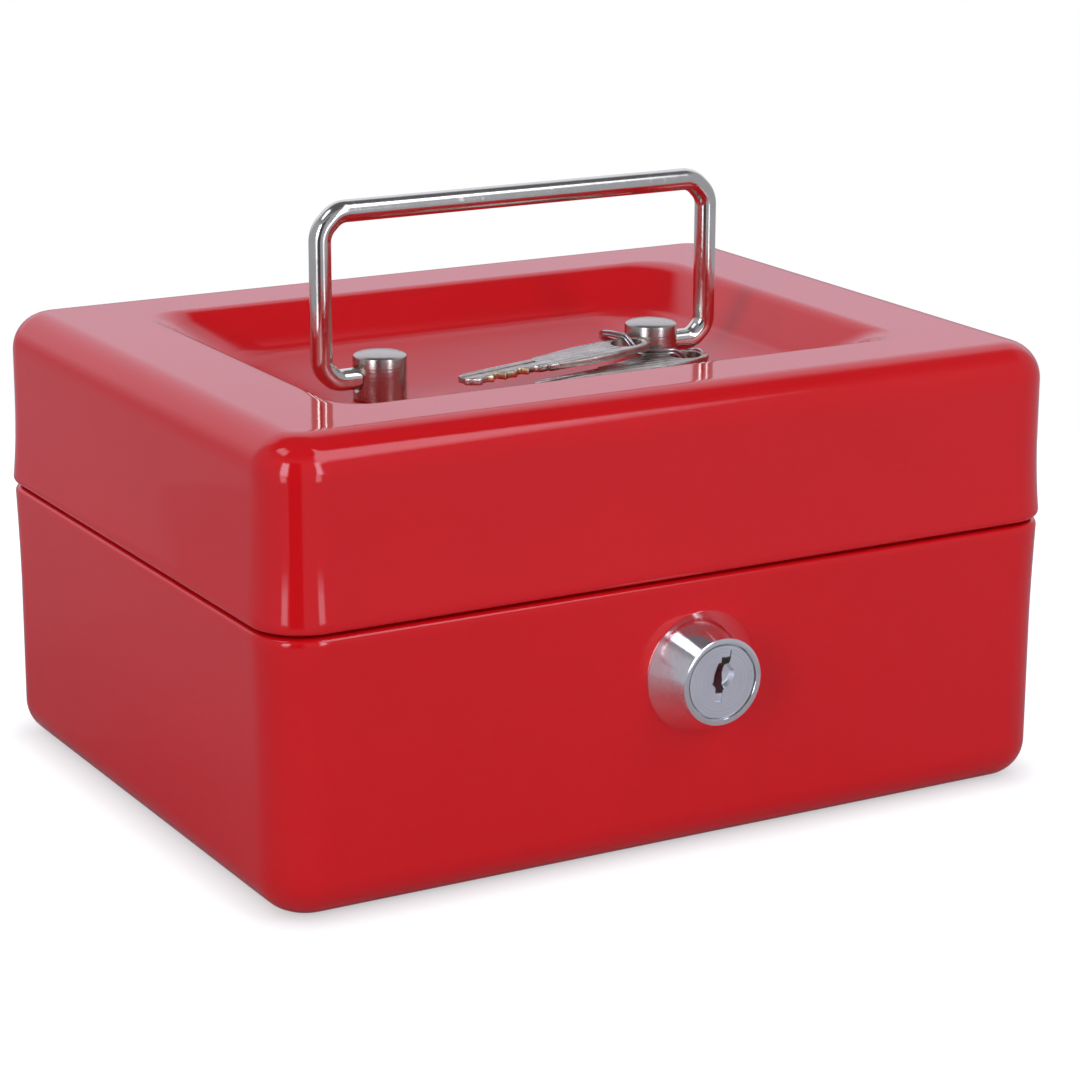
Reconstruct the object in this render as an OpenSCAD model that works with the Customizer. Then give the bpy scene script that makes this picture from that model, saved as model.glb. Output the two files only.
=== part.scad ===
// Pressed-steel cash box with a dished lid, folding wire handle, cam lock,
// rear hinges, lift-out coin tray and two keys on a split ring.
// Millimetres. X runs along the front, Y to the back, Z up.
// The origin is the middle of the flat bottom.

/* [Box] */
// Width between the straight left and right walls, outside
wall_w = 151.3; // [145:0.1:165]
// Depth between the straight front and back walls, outside
wall_d = 116.6; // [114:0.1:130]
// Height of the closed box, to the flat rim of the lid
box_h = 79.6; // [78:0.1:86]
// Thickness of the sheet steel
sheet = 0.8; // [0.6:0.05:0.9]
// Radius of the upright corners, outside
corner_r = 8.6; // [8.5:0.1:12]

/* [Base] */
// Radius of the fillet round the bottom
base_fillet_r = 6.5; // [4:0.5:8]
// Height at which the base wall starts to flare out
base_straight_h = 34; // [20:0.5:38]
// How far the base wall stands out at its shoulder
base_flare = 0.45; // [0.1:0.05:0.8]
// Height of the shoulder that the lid closes down to
shoulder_z = 47.8; // [46:0.1:50]
// Outer radius of the shoulder's bend
shoulder_r = 1.6; // [1.2:0.1:2]
// Height of the neck that stands up inside the lid
neck_h = 5.2; // [3:0.1:6]
// How far the neck is set in from the straight wall
neck_inset = 2; // [1.9:0.05:2.4]

/* [Lid] */
// Gap of the seam between the shoulder and the lid's lip
seam_gap = 0.5; // [0.3:0.05:0.8]
// How far the lid wall stands out at its lip
lid_flare = 0.75; // [0.2:0.05:1]
// Height of the flared stretch of the lid wall
lid_flare_h = 11.7; // [6:0.1:14]
// Outer radius of the lip's inward curl
lip_r = 1.6; // [1.2:0.1:2]
// Radius of the fillet round the top of the lid
lid_fillet_r = 6.6; // [4:0.1:7.5]

/* [Recess] */
// Width of the dished recess, between the starts of its rounded edge
recess_w = 112; // [106:0.5:120]
// Depth of the recess front to back, between the starts of its edge
recess_d = 82; // [80:0.5:90]
// Radius of the recess's corners in plan
recess_corner_r = 20.6; // [20.6:0.1:22]
// How far the floor of the recess lies below the rim
recess_depth = 10.1; // [9.6:0.05:10.5]
// Radius of the recess's rounded upper edge
edge_r = 5; // [4:0.1:5.2]
// Radius between the recess's wall and its sloping bowl
foot_r = 5; // [4:0.1:5.2]
// Large radius of the bowl that runs out to the flat floor
bowl_r = 30; // [26:0.5:31]
// Slope of the recess's wall, in degrees from level
recess_wall_angle = 48; // [47:1:55]
// Slope of the bowl where it meets the wall's foot, in degrees
bowl_angle = 17; // [12:1:17]

/* [Handle] */
// Distance from a leg's centre line to its post's centre
arm_l = 11.3; // [11:0.1:13]
// Diameter of a post
post_d = 9.5; // [8.5:0.1:10]
// Height of a post above the recess floor
post_h = 8.5; // [7.8:0.1:9.5]
// Chamfer round the top of a post
post_chamfer = 0.4; // [0.2:0.05:0.8]
// Diameter of the handle's wire
wire_d = 3.9; // [3.5:0.1:4]
// Height of the handle's pivot above the recess floor
pivot_h = 4.1; // [3.9:0.05:4.3]
// Distance between the centre lines of the handle's two legs
handle_w = 77.8; // [76:0.1:80]
// Height of the handle's bar above its pivot, centre to centre
handle_h = 29.5; // [26:0.1:30]
// Bend radius where an arm turns up into a leg, at the wire's centre
bend_low_r = 4; // [3:0.1:5]
// Bend radius where a leg turns into the bar, at the wire's centre
bend_top_r = 5; // [3:0.1:7]
// Depth of the handle's hole in a post
post_bore_depth = 6; // [4:0.1:7]
// Radial clearance of the wire in its post
pivot_clearance = 0.08; // [0.02:0.01:0.1]
// Gap between the wire's end and the bottom of the post's hole
arm_end_gap = 0.8; // [0.4:0.1:1.5]
// Width of the countersink round the post's hole
bore_chamfer = 0.5; // [0.2:0.05:0.6]
// Diameter of the post's spigot through the lid
spigot_d = 5; // [3:0.1:6]
// Diameter of the washer under a post
washer_d = 11; // [8:0.1:13]
// Thickness of that washer
washer_t = 1; // [0.6:0.1:1.5]
// Diameter of the spigot's peened head
peen_d = 6.8; // [6.2:0.1:8]
// Thickness of the peened head
peen_t = 0.8; // [0.4:0.1:1.2]

/* [Lock] */
// How far the lock's centre lies to the right of the box's middle
lock_x = 2.4; // [0:0.1:5]
// Height of the lock's centre
lock_z = 31.4; // [31:0.1:32]
// Diameter of the collar against the wall
collar_d = 21.3; // [19:0.1:23]
// Diameter of the collar's face
collar_face_d = 15; // [14.4:0.1:17]
// How far the collar stands out of the wall
collar_h = 6.85; // [5:0.05:8]
// Width of the chamfer round the collar's face and its foot
collar_chamfer = 0.3; // [0.1:0.05:0.4]
// Diameter of the plug
plug_d = 13; // [12:0.1:13.6]
// Radial clearance of the plug in its housing
plug_clearance = 0.05; // [0.02:0.01:0.1]
// How far the plug's face lies inside the collar's face
plug_set_in = 0.2; // [0.1:0.05:0.6]
// Outer diameter of the housing's barrel
barrel_d = 16; // [15.4:0.1:17]
// Length of the barrel behind the sheet
barrel_len = 6; // [5.6:0.1:6.4]
// Width of the lock nut across its flats
nut_af = 20; // [18:0.5:21]
// Thickness of the lock nut
nut_t = 2.6; // [2:0.1:3]
// Width of the keyway
keyway_w = 2; // [1.5:0.1:2.4]
// Height of the keyway
keyway_h = 9; // [7:0.1:10]
// How far the keyway's middle lies above the plug's centre
keyway_up = 1; // [0:0.1:1]
// Depth of the keyway into the plug
keyway_depth = 9.4; // [8:0.1:10]
// Lean of the keyway from upright, in degrees
keyway_lean = 10; // [0:1:15]
// Diameter of the round key entry in the plug's face
entry_d = 4.8; // [3:0.1:6]
// Depth of the round key entry
entry_depth = 1; // [0.4:0.1:1.4]
// Number of wafers in the plug
wafer_count = 3; // [2:1:3]
// Thickness of a wafer
wafer_t = 0.8; // [0.5:0.05:1]
// Spacing of the wafers
wafer_pitch = 2.4; // [2:0.1:2.6]
// Width of a wafer
wafer_w = 5; // [4:0.1:5.4]
// Height of a wafer
wafer_h = 10.6; // [9:0.1:11]
// Distance of the first wafer behind the key entry
wafer_set_in = 1.6; // [1:0.1:2]
// Gap in front of, behind and below a wafer in its slot
wafer_gap = 0.1; // [0.05:0.01:0.15]

/* [Cam and catch] */
// Thickness of the cam
cam_t = 1.2; // [1:0.1:1.4]
// Width of the cam's arm
cam_w = 8; // [7.6:0.1:10]
// Distance from the lock's centre to the end of the cam
cam_reach = 19.6; // [18.8:0.1:19.8]
// Height of the cam's hook
hook_h = 3; // [2:0.1:3.4]
// Width of the cam's hook
hook_w = 6; // [4:0.1:7]
// Side of the square drive between plug and cam
drive_w = 5.5; // [4.5:0.1:6]
// Gap between the housing and the cam
cam_gap = 0.4; // [0.3:0.05:0.6]
// Diameter of the cam screw's shank
screw_d = 3; // [2:0.1:3.4]
// Diameter of the cam screw's head
screw_head_d = 6.5; // [5.8:0.1:7]
// Depth of the cam screw's shank
screw_depth = 3.5; // [2.5:0.1:4]
// Thickness of the cam screw's head
screw_head_t = 1.6; // [1.2:0.1:2]
// Width and depth of the slot in the screw's head
screw_slot = 0.8; // [0.6:0.1:1]
// Thickness of the catch plate
catch_t = 1.2; // [0.8:0.1:1.4]
// Width of the catch plate
catch_w = 18; // [17:0.5:24]
// Gap between the catch plate and the cam
catch_gap = 0.65; // [0.3:0.05:0.8]
// Height of the catch plate on the lid's front wall
catch_plate_h = 12; // [8:0.5:12]
// Gap between the neck and the catch's shelf
shelf_gap = 2.5; // [1.5:0.1:3]
// Height of the catch's finger under the hook
finger_h = 3.4; // [2.5:0.1:4]
// How far the finger runs past the hook
finger_past = 1.5; // [1:0.1:2]
// How far the cam's hook stands out of the catch's notch
hook_out = 0.25; // [0.1:0.05:0.5]
// Gap round the cam's hook in the catch's notch
notch_gap = 0.6; // [0.4:0.05:1]

/* [Hinges] */
// Distance of each hinge's middle from the box's middle
hinge_x = 42; // [30:0.5:45]
// Length of a hinge
hinge_len = 26; // [20:0.5:32]
// Outer radius of the hinge's knuckles
knuckle_r = 2.4; // [2:0.05:2.5]
// Diameter of the hinge pin
hinge_pin_d = 2.4; // [2:0.1:3]
// Radial clearance of the pin in its knuckles
pin_clearance = 0.05; // [0.02:0.01:0.1]
// How far the pin stands out of its knuckles at each end
pin_end = 0.2; // [0.1:0.05:0.5]
// Gap between neighbouring knuckles
knuckle_gap = 0.3; // [0.2:0.05:0.5]
// Thickness of a hinge leaf
leaf_t = 0.8; // [0.6:0.05:0.85]
// Height of a hinge leaf
leaf_h = 11; // [8:0.5:12]
// Gap between the leaves and the other leaf's knuckles
leaf_gap = 0.2; // [0.15:0.05:0.4]

/* [Tray] */
// Gap between the tray and the inside of a side wall
tray_side_gap = 3.85; // [3.8:0.05:6]
// Gap between the tray and the neck at the front, which clears the lock
tray_front_gap = 18.35; // [17.5:0.05:22]
// Height of the coin tray
tray_h = 22; // [18:0.5:23]
// Wall thickness of the tray
tray_t = 1.6; // [1.2:0.1:2]
// Radius of the tray's corners
tray_corner_r = 8; // [8:0.5:12]
// Gap between the tray and the neck at the back
tray_back_gap = 2.35; // [2:0.05:4]
// Number of rounded coin wells along the back
well_count = 4; // [3:1:5]
// Length of the coin wells front to back
well_len = 52; // [46:0.5:54]
// Number of flat compartments along the front
bin_count = 2; // [1:1:3]
// Width of the tray's lifting lug
lug_w = 20; // [14:0.5:26]
// Height of the lifting lug above the tray
lug_h = 6.5; // [4:0.5:7]
// Thickness of the lifting lug
lug_t = 2.4; // [1.8:0.1:3]
// Height of the tray's bottom above the floor of the box
tray_z = 29; // [28:0.5:29]
// Width of the ledge that the tray rests on
ledge_w = 9; // [8:0.5:10]
// Length of that ledge
ledge_len = 66; // [50:1:70]
// Thickness of the tray supports
ledge_t = 1; // [0.8:0.1:1.2]
// Height of the support's flange on the wall
ledge_flange_h = 9; // [6:0.5:12]

/* [Keys] */
// Length of a key, end to end
key_l = 37.8; // [36:0.1:40]
// Thickness of a key
key_t = 1.3; // [1:0.05:1.35]
// Length of a key's bow
bow_l = 22; // [20:0.5:23]
// Width of a key's bow
bow_w = 8.8; // [8:0.1:9]
// Width of a bow across its outer end
bow_end_w = 4; // [3.6:0.1:5]
// Diameter of the hole in a bow
bow_hole_d = 5.6; // [5.5:0.1:5.8]
// Width of a key's blade
blade_w = 5.4; // [4.6:0.1:6]
// Outer diameter of the key ring
ring_d = 19.4; // [19:0.1:19.8]
// Diameter of the key ring's wire
ring_wire_d = 0.6; // [0.5:0.05:0.65]

/* [Hidden] */
$fn = 64;

// Straight steps in a rounded stretch of a pressed profile
arc_steps = 7;
// Cutting tools run this far past the faces they cut
over = 1;
// Gap round a part that sits in an opening of the sheet
fit_gap = 0.1;

red = [0.72, 0.06, 0.08];
bright = [0.80, 0.80, 0.82];
steel = [0.62, 0.62, 0.64];
black = [0.10, 0.10, 0.11];

// Corner axes of the walls, and of the recess
axis_x = wall_w / 2 - corner_r;
axis_y = wall_d / 2 - corner_r;
recess_axis_x = recess_w / 2 - recess_corner_r;
recess_axis_y = recess_d / 2 - recess_corner_r;

neck_r = corner_r - neck_inset;
neck_top = shoulder_z + neck_h;
lip_z = shoulder_z + seam_gap;
lid_flare_top = lip_z + lid_flare_h;
inner_front_y = -(wall_d / 2 - sheet);
inner_back_y = wall_d / 2 - sheet;
inner_side_x = wall_w / 2 - sheet;
neck_inner_y = axis_y + neck_r - sheet;

// Recess
floor_z = box_h - recess_depth;
recess_wall_l = (recess_depth - bowl_r * (1 - cos(bowl_angle))
    - foot_r * (cos(bowl_angle) - cos(recess_wall_angle))
    - edge_r * (1 - cos(recess_wall_angle))) / sin(recess_wall_angle);
recess_flat_r = recess_corner_r - bowl_r * sin(bowl_angle)
    - foot_r * (sin(recess_wall_angle) - sin(bowl_angle))
    - recess_wall_l * cos(recess_wall_angle) - edge_r * sin(recess_wall_angle);

// Handle
leg_x = handle_w / 2;
post_x = leg_x - arm_l;
post_r = post_d / 2;
pivot_z = floor_z + pivot_h;
wire_r = wire_d / 2;
bar_z = pivot_z + handle_h;
bore_r = wire_r + pivot_clearance;
bore_end_x = post_x + post_r - post_bore_depth;
arm_end_x = bore_end_x + arm_end_gap;
underside_z = floor_z - sheet;

// Lock, in its own frame: z runs out of the wall, y up
plug_r = plug_d / 2;
plug_bore_r = plug_r + plug_clearance;
barrel_r = barrel_d / 2;
barrel_back = -(sheet + barrel_len);
cam_front = barrel_back - cam_gap;
cam_back = cam_front - cam_t;
plug_face = collar_h - plug_set_in;
wafer_first = plug_face - entry_depth - wafer_set_in;
catch_back = cam_front + catch_gap;
catch_front = catch_back + catch_t;
hook_front = catch_front + hook_out;
hook_low = cam_reach - hook_h;

// Catch notch, seen from the front, measured from the lock's centre
finger_top = hook_low - notch_gap;
finger_bottom = finger_top - finger_h;
notch_top = cam_reach + notch_gap;
notch_end_x = hook_w / 2 + notch_gap;
finger_end_x = -hook_w / 2 - finger_past;
catch_shelf_z = neck_top + shelf_gap;
catch_plate_top = catch_shelf_z + catch_plate_h;

// Hinges
hinge_z = shoulder_z + seam_gap / 2;
hinge_y = inner_back_y + leaf_gap + knuckle_r;
pin_r = hinge_pin_d / 2;
middle_len = hinge_len / 3 + 1;
outer_len = (hinge_len - middle_len) / 2 - knuckle_gap;
window_gap = 0.35;
web_t = 1.5;
seam_half = seam_gap / 2;

// Tray
tray_w = 2 * (inner_side_x - tray_side_gap);
tray_back_y = neck_inner_y - tray_back_gap;
tray_front_y = tray_front_gap - neck_inner_y;
tray_mid_y = (tray_back_y + tray_front_y) / 2;
tray_top = tray_z + tray_h;
well_w = (tray_w - tray_t * (well_count + 1)) / well_count;
bin_w = (tray_w - tray_t * (bin_count + 1)) / bin_count;
well_front_y = tray_back_y - tray_t - well_len;
bin_back_y = well_front_y - tray_t;

// Keys: places in the recess, each hole on the ring's line
ring_wire_r = ring_wire_d / 2;
ring_r = ring_d / 2 - ring_wire_r;
ring_x = post_x + 1;
ring_y = 1.2;
ring_low = floor_z + 1.5;
key_clear = 0.05;
turn_t = 2 * ring_wire_d;
ring_lift = turn_t + key_t + 2 * key_clear;
hole_from_end = 3.8;
// Key two lies under key one: where each hole is on the ring, in degrees
key_two_angle = -85;
key_one_angle = -145;
// How far each hole's centre lies outside the ring's line
key_two_out = 0.9;
key_one_out = 2;
// Half the stretch of the ring that climbs through each hole, in degrees
key_two_climb = 14;
key_one_climb = 10;
// Turn of each key in plan, in degrees from the front of the box
key_two_turn = 10;
key_one_turn = 2;
// Fall of each key towards its tip, in degrees
key_two_slope = 0.8;
key_one_slope = 4.2;
// Where the ring starts and ends its way back down
ring_fall = [-166, -290];
// Gap between the ring's two ends, either side of its crossing
ring_gap = 10;
ring_steps = 48;
ring_sides = 8;
// Depth and width of the grooves along a blade, and their gap to the bow
groove_t = 0.25;
groove_w = 0.9;
groove_gap = 0.6;
// Outline of a bow: how far in its end, its widest stretch and its
// shoulder run, and how much wider than the blade the shoulder is
bow_end_l = 1.6;
bow_end_out = 1.3;
bow_wide_from = 8.5;
bow_wide_to = 13;
bow_foot_l = 2;
bow_foot_out = 0.7;
// Blade: plain stretches at the tip and the bow, and the tip's slants
tip_l = 2.4;
neck_l = 1.6;
tip_slant = [2, 1.9];
tip_back_slant = [1.4, 0.8];
// Depths of the cuts along a blade
key_cuts = [0.9, 1.7, 0.6, 1.4, 1.0];

// Points of a round stretch about centre c, from angle a0 to a1
function arc(c, r, a0, a1, steps = arc_steps) =
    [for (i = [0:steps]) let (a = a0 + (a1 - a0) * i / steps) c + r * [cos(a), sin(a)]];

// Sweeps a profile (distance out from a corner's axis, height) round a
// rounded rectangle whose corner axes stand at +-ax, +-ay
module swept(ax, ay) {
    for (i = [0:3]) {
        sx = (i == 0 || i == 3) ? 1 : -1;
        sy = (i < 2) ? 1 : -1;
        translate([sx * ax, sy * ay, 0])
            rotate([0, 0, 90 * i])
                rotate_extrude(angle = 90)
                    children();
        along = (i % 2 == 0) ? ay : ax;
        out = (i % 2 == 0) ? ax : ay;
        rotate([0, 0, 90 * i])
            translate([out, along, 0])
                rotate([90, 0, 0])
                    linear_extrude(height = 2 * along)
                        children();
    }
}

// Flat block between the corner axes
module core(ax, ay, z0, z1) {
    translate([-ax, -ay, z0])
        cube([2 * ax, 2 * ay, z1 - z0]);
}

// A box given by its two opposite corners
module span(a, b) {
    translate([min(a.x, b.x), min(a.y, b.y), min(a.z, b.z)])
        cube([abs(b.x - a.x), abs(b.y - a.y), abs(b.z - a.z)]);
}

// Lock frame: z out of the front wall's outer face, y up
module lock_frame() {
    translate([lock_x, -wall_d / 2, lock_z])
        rotate([90, 0, 0])
            children();
}

// Block with round upright edges, between two opposite corners
module rounded_block(a, b, r) {
    span([a.x + r, a.y, a.z], [b.x - r, b.y, b.z]);
    span([a.x, a.y + r, a.z], [b.x, b.y - r, b.z]);
    for (x = [a.x + r, b.x - r])
        for (y = [a.y + r, b.y - r])
            translate([x, y, a.z])
                cylinder(r = r, h = b.z - a.z);
}

// ---- Base ----

base_profile = concat(
    [[0, 0]],
    arc([corner_r - base_fillet_r, base_fillet_r], base_fillet_r, -90, 0),
    [[corner_r, base_straight_h]],
    arc([corner_r + base_flare - shoulder_r, shoulder_z - shoulder_r], shoulder_r, 0, 90, 4),
    [[neck_r, shoulder_z], [neck_r, neck_top], [neck_r - sheet, neck_top],
        [neck_r - sheet, shoulder_z - sheet]],
    arc([corner_r + base_flare - shoulder_r, shoulder_z - shoulder_r],
        shoulder_r - sheet, 90, 0, 4),
    [[corner_r - sheet, base_straight_h]],
    arc([corner_r - base_fillet_r, base_fillet_r], base_fillet_r - sheet, 0, -90),
    [[0, sheet]]);

module base_shell() {
    color(red)
        difference() {
            union() {
                swept(axis_x, axis_y)
                    polygon(base_profile);
                core(axis_x, axis_y, 0, sheet);
            }
            lock_frame()
                translate([0, 0, -sheet - over])
                    cylinder(r = barrel_r + fit_gap, h = sheet + 2 * over);
            // Flat seat for the collar where the wall starts to flare
            lock_frame()
                cylinder(r = collar_d / 2 + fit_gap, h = over);
            for (side = [-1, 1])
                hinge_window(side, hinge_z - knuckle_r - window_gap, hinge_z + knuckle_gap);
        }
}

// Slot through the back wall for one hinge, outside the neck
module hinge_window(side, z0, z1) {
    half = hinge_len / 2 + window_gap;
    span([side * hinge_x - half, axis_y + neck_r + fit_gap, z0],
        [side * hinge_x + half, wall_d / 2 + 2 * over, z1]);
}

// ---- Lid ----

lid_profile = concat(
    [[0, box_h - sheet], [0, box_h]],
    arc([corner_r - lid_fillet_r, box_h - lid_fillet_r], lid_fillet_r, 90, 0),
    [[corner_r, lid_flare_top]],
    arc([corner_r + lid_flare - lip_r, lip_z + lip_r], lip_r, 0, -90, 4),
    arc([corner_r + lid_flare - lip_r, lip_z + lip_r], lip_r - sheet, -90, 0, 4),
    [[corner_r - sheet, lid_flare_top]],
    arc([corner_r - lid_fillet_r, box_h - lid_fillet_r], lid_fillet_r - sheet, 0, 90));

// Recess surface from its floor to its rim, d below the painted face
function recess_line(d) =
    let (
        b = bowl_angle,
        w = recess_wall_angle,
        c1 = [recess_flat_r, floor_z + bowl_r],
        p1 = c1 + bowl_r * [sin(b), -cos(b)],
        c2 = p1 + foot_r * [-sin(b), cos(b)],
        p2 = c2 + foot_r * [sin(w), -cos(w)],
        p3 = p2 + recess_wall_l * [cos(w), sin(w)],
        c3 = p3 + edge_r * [sin(w), -cos(w)])
    concat([[0, floor_z - d]],
        arc(c1, bowl_r + d, -90, b - 90, 6),
        arc(c2, foot_r + d, b - 90, w - 90, 5),
        arc(c3, edge_r - d, w + 90, 90, 6));

// Solid below or above the recess surface, up to height top
module recess_solid(d, top) {
    line = recess_line(d);
    swept(recess_axis_x, recess_axis_y)
        polygon(concat(line, [[line[len(line) - 1].x, top], [0, top]]));
    core(recess_axis_x, recess_axis_y, floor_z - d, top);
}

module lid_shell() {
    color(red)
        difference() {
            union() {
                swept(axis_x, axis_y)
                    polygon(lid_profile);
                core(axis_x, axis_y, box_h - sheet, box_h);
                recess_solid(sheet, box_h - sheet / 2);
            }
            recess_solid(0, box_h + over);
            for (side = [-1, 1]) {
                translate([side * post_x, 0, underside_z - over])
                    cylinder(d = spigot_d, h = sheet + 2 * over);
                hinge_window(side, hinge_z - knuckle_gap, hinge_z + knuckle_r + window_gap);
            }
        }
}

// ---- Handle ----

// One post with its countersunk side hole, spigot and peened head
module handle_post(side) {
    color(bright)
        translate([side * post_x, 0, 0])
            difference() {
                union() {
                    translate([0, 0, floor_z])
                        cylinder(r = post_r, h = post_h - post_chamfer);
                    translate([0, 0, floor_z + post_h - post_chamfer])
                        cylinder(r1 = post_r, r2 = post_r - post_chamfer, h = post_chamfer);
                    translate([0, 0, underside_z - washer_t])
                        cylinder(d = spigot_d, h = sheet + washer_t);
                    translate([0, 0, underside_z - washer_t - peen_t])
                        cylinder(d1 = peen_d - peen_t, d2 = peen_d, h = peen_t);
                }
                translate([side * (bore_end_x - post_x), 0, pivot_z])
                    rotate([0, side * 90, 0])
                        cylinder(r = bore_r, h = post_d);
                translate([side * (post_r - bore_chamfer), 0, pivot_z])
                    rotate([0, side * 90, 0])
                        cylinder(r1 = bore_r, r2 = bore_r + 2 * bore_chamfer,
                            h = 2 * bore_chamfer);
            }
}

module handle_post_left() { handle_post(-1); }
module handle_post_right() { handle_post(1); }

module post_washer(side) {
    color(steel)
        translate([side * post_x, 0, underside_z - washer_t])
            difference() {
                cylinder(d = washer_d, h = washer_t);
                translate([0, 0, -over])
                    cylinder(d = spigot_d, h = washer_t + 2 * over);
            }
}

module post_washer_left() { post_washer(-1); }
module post_washer_right() { post_washer(1); }

// A quarter bend of the wire in the XZ plane, about centre c
module wire_bend(c, r, start) {
    translate([c.x, 0, c.y])
        rotate([90, 0, 0])
            rotate([0, 0, start])
                rotate_extrude(angle = 90)
                    translate([r, 0])
                        circle(r = wire_r);
}

module handle_bail() {
    color(bright) {
        for (side = [0, 1])
            mirror([side, 0, 0]) {
                translate([arm_end_x, 0, pivot_z])
                    rotate([0, 90, 0])
                        cylinder(r = wire_r, h = leg_x - bend_low_r - arm_end_x);
                wire_bend([leg_x - bend_low_r, pivot_z + bend_low_r], bend_low_r, -90);
                translate([leg_x, 0, pivot_z + bend_low_r])
                    cylinder(r = wire_r, h = handle_h - bend_low_r - bend_top_r);
                wire_bend([leg_x - bend_top_r, bar_z - bend_top_r], bend_top_r, 0);
            }
        translate([-(leg_x - bend_top_r), 0, bar_z])
            rotate([0, 90, 0])
                cylinder(r = wire_r, h = 2 * (leg_x - bend_top_r));
    }
}

// ---- Lock ----

module lock_housing() {
    color(bright)
        lock_frame()
            rotate_extrude()
                polygon([
                    [plug_bore_r, barrel_back], [barrel_r, barrel_back], [barrel_r, 0],
                    [collar_d / 2, 0], [collar_d / 2, collar_chamfer],
                    [collar_face_d / 2 + collar_chamfer / 2, collar_h - collar_chamfer],
                    [collar_face_d / 2 - collar_chamfer / 2, collar_h],
                    [plug_bore_r, collar_h]]);
}

module lock_nut() {
    color(steel)
        lock_frame()
            translate([0, 0, -sheet - nut_t])
                difference() {
                    cylinder(d = nut_af / cos(30), h = nut_t, $fn = 6);
                    translate([0, 0, -over])
                        cylinder(r = barrel_r, h = nut_t + 2 * over);
                }
}

// Depth of wafer i's front face in the lock's frame
function wafer_z(i) = wafer_first - i * wafer_pitch;

module lock_plug() {
    color(bright)
        lock_frame()
            difference() {
                union() {
                    translate([0, 0, barrel_back])
                        cylinder(r = plug_r, h = plug_face - barrel_back);
                    translate([0, 0, cam_front])
                        cylinder(r = plug_r - 1, h = cam_gap);
                    translate([-drive_w / 2, -drive_w / 2, cam_back])
                        cube([drive_w, drive_w, cam_t]);
                }
                rotate([0, 0, -keyway_lean]) {
                    translate([-keyway_w / 2, keyway_up - keyway_h / 2, plug_face - keyway_depth])
                        cube([keyway_w, keyway_h, keyway_depth + over]);
                    for (i = [0:wafer_count - 1])
                        translate([-wafer_w / 2, -wafer_h / 2 - wafer_gap,
                                wafer_z(i) - wafer_t - wafer_gap])
                            cube([wafer_w, plug_d, wafer_t + 2 * wafer_gap]);
                }
                translate([0, 0, plug_face - entry_depth])
                    cylinder(d = entry_d, h = entry_depth + over);
                translate([0, 0, cam_back - over])
                    cylinder(d = screw_d, h = screw_depth + over);
            }
}

module lock_wafers() {
    color("goldenrod")
        lock_frame()
            rotate([0, 0, -keyway_lean])
                for (i = [0:wafer_count - 1])
                    difference() {
                        translate([-wafer_w / 2, -wafer_h / 2, wafer_z(i) - wafer_t])
                            cube([wafer_w, wafer_h, wafer_t]);
                        translate([-keyway_w / 2, -wafer_h / 4, wafer_z(i) - wafer_t - over])
                            cube([keyway_w, wafer_h / 2, wafer_t + 2 * over]);
                    }
}

// The cam points to the left, clear of the catch; a quarter turn hooks it
module lock_cam() {
    color(steel)
        lock_frame()
            rotate([0, 0, 90])
                difference() {
                    union() {
                        translate([0, 0, cam_back])
                            cylinder(d = cam_w + 2, h = cam_t);
                        translate([-cam_w / 2, 0, cam_back])
                            cube([cam_w, hook_low, cam_t]);
                        translate([-hook_w / 2, hook_low, cam_back])
                            cube([hook_w, hook_h, hook_front - cam_back]);
                    }
                    translate([-drive_w / 2, -drive_w / 2, cam_back - over])
                        cube([drive_w, drive_w, cam_t + 2 * over]);
                }
}

module cam_screw() {
    color(steel)
        lock_frame()
            difference() {
                union() {
                    translate([0, 0, cam_back])
                        cylinder(d = screw_d, h = screw_depth);
                    translate([0, 0, cam_back - screw_head_t])
                        cylinder(d = screw_head_d, h = screw_head_t);
                }
                translate([-screw_head_d, -screw_slot / 2, cam_back - screw_head_t - over])
                    cube([2 * screw_head_d, screw_slot, over + screw_slot]);
            }
}

// Plate inside the lid's front: a shelf over the neck, then a hooked tab
module catch_plate() {
    back = -wall_d / 2 - catch_back;
    front = -wall_d / 2 - catch_front;
    left = lock_x - catch_w / 2;
    right = lock_x + catch_w / 2;
    color(steel) {
        span([left, inner_front_y, catch_shelf_z],
            [right, inner_front_y + catch_t, catch_plate_top]);
        span([left, inner_front_y, catch_shelf_z],
            [right, back, catch_shelf_z + catch_t]);
        difference() {
            span([left, front, lock_z + finger_bottom],
                [right, back, catch_shelf_z + catch_t]);
            span([left - over, front - over, lock_z + finger_top],
                [lock_x + notch_end_x, back + over, lock_z + notch_top]);
            span([left - over, front - over, lock_z],
                [lock_x + finger_end_x, back + over, lock_z + notch_top]);
        }
    }
}

// ---- Hinges ----

// A hinge leaf in section: plate on the inner wall and web to the knuckle
module hinge_plate(side, up) {
    z0 = hinge_z + up * seam_half;
    span([side * hinge_x - hinge_len / 2, inner_back_y - leaf_t, z0],
        [side * hinge_x + hinge_len / 2, inner_back_y, z0 + up * leaf_h]);
}

module knuckle(x0, x1, up, bore) {
    difference() {
        union() {
            translate([x0, hinge_y, hinge_z])
                rotate([0, 90, 0])
                    cylinder(r = knuckle_r, h = x1 - x0);
            span([x0, inner_back_y - leaf_t, hinge_z + up * seam_half],
                [x1, hinge_y - knuckle_r / 2, hinge_z + up * (seam_half + web_t)]);
        }
        translate([x0 - over, hinge_y, hinge_z])
            rotate([0, 90, 0])
                cylinder(r = bore, h = x1 - x0 + 2 * over);
    }
}

module hinge_base_leaf(side) {
    x0 = side * hinge_x - hinge_len / 2;
    x1 = side * hinge_x + hinge_len / 2;
    color(red) {
        hinge_plate(side, -1);
        knuckle(x0, x0 + outer_len, -1, pin_r);
        knuckle(x1 - outer_len, x1, -1, pin_r);
    }
}

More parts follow.
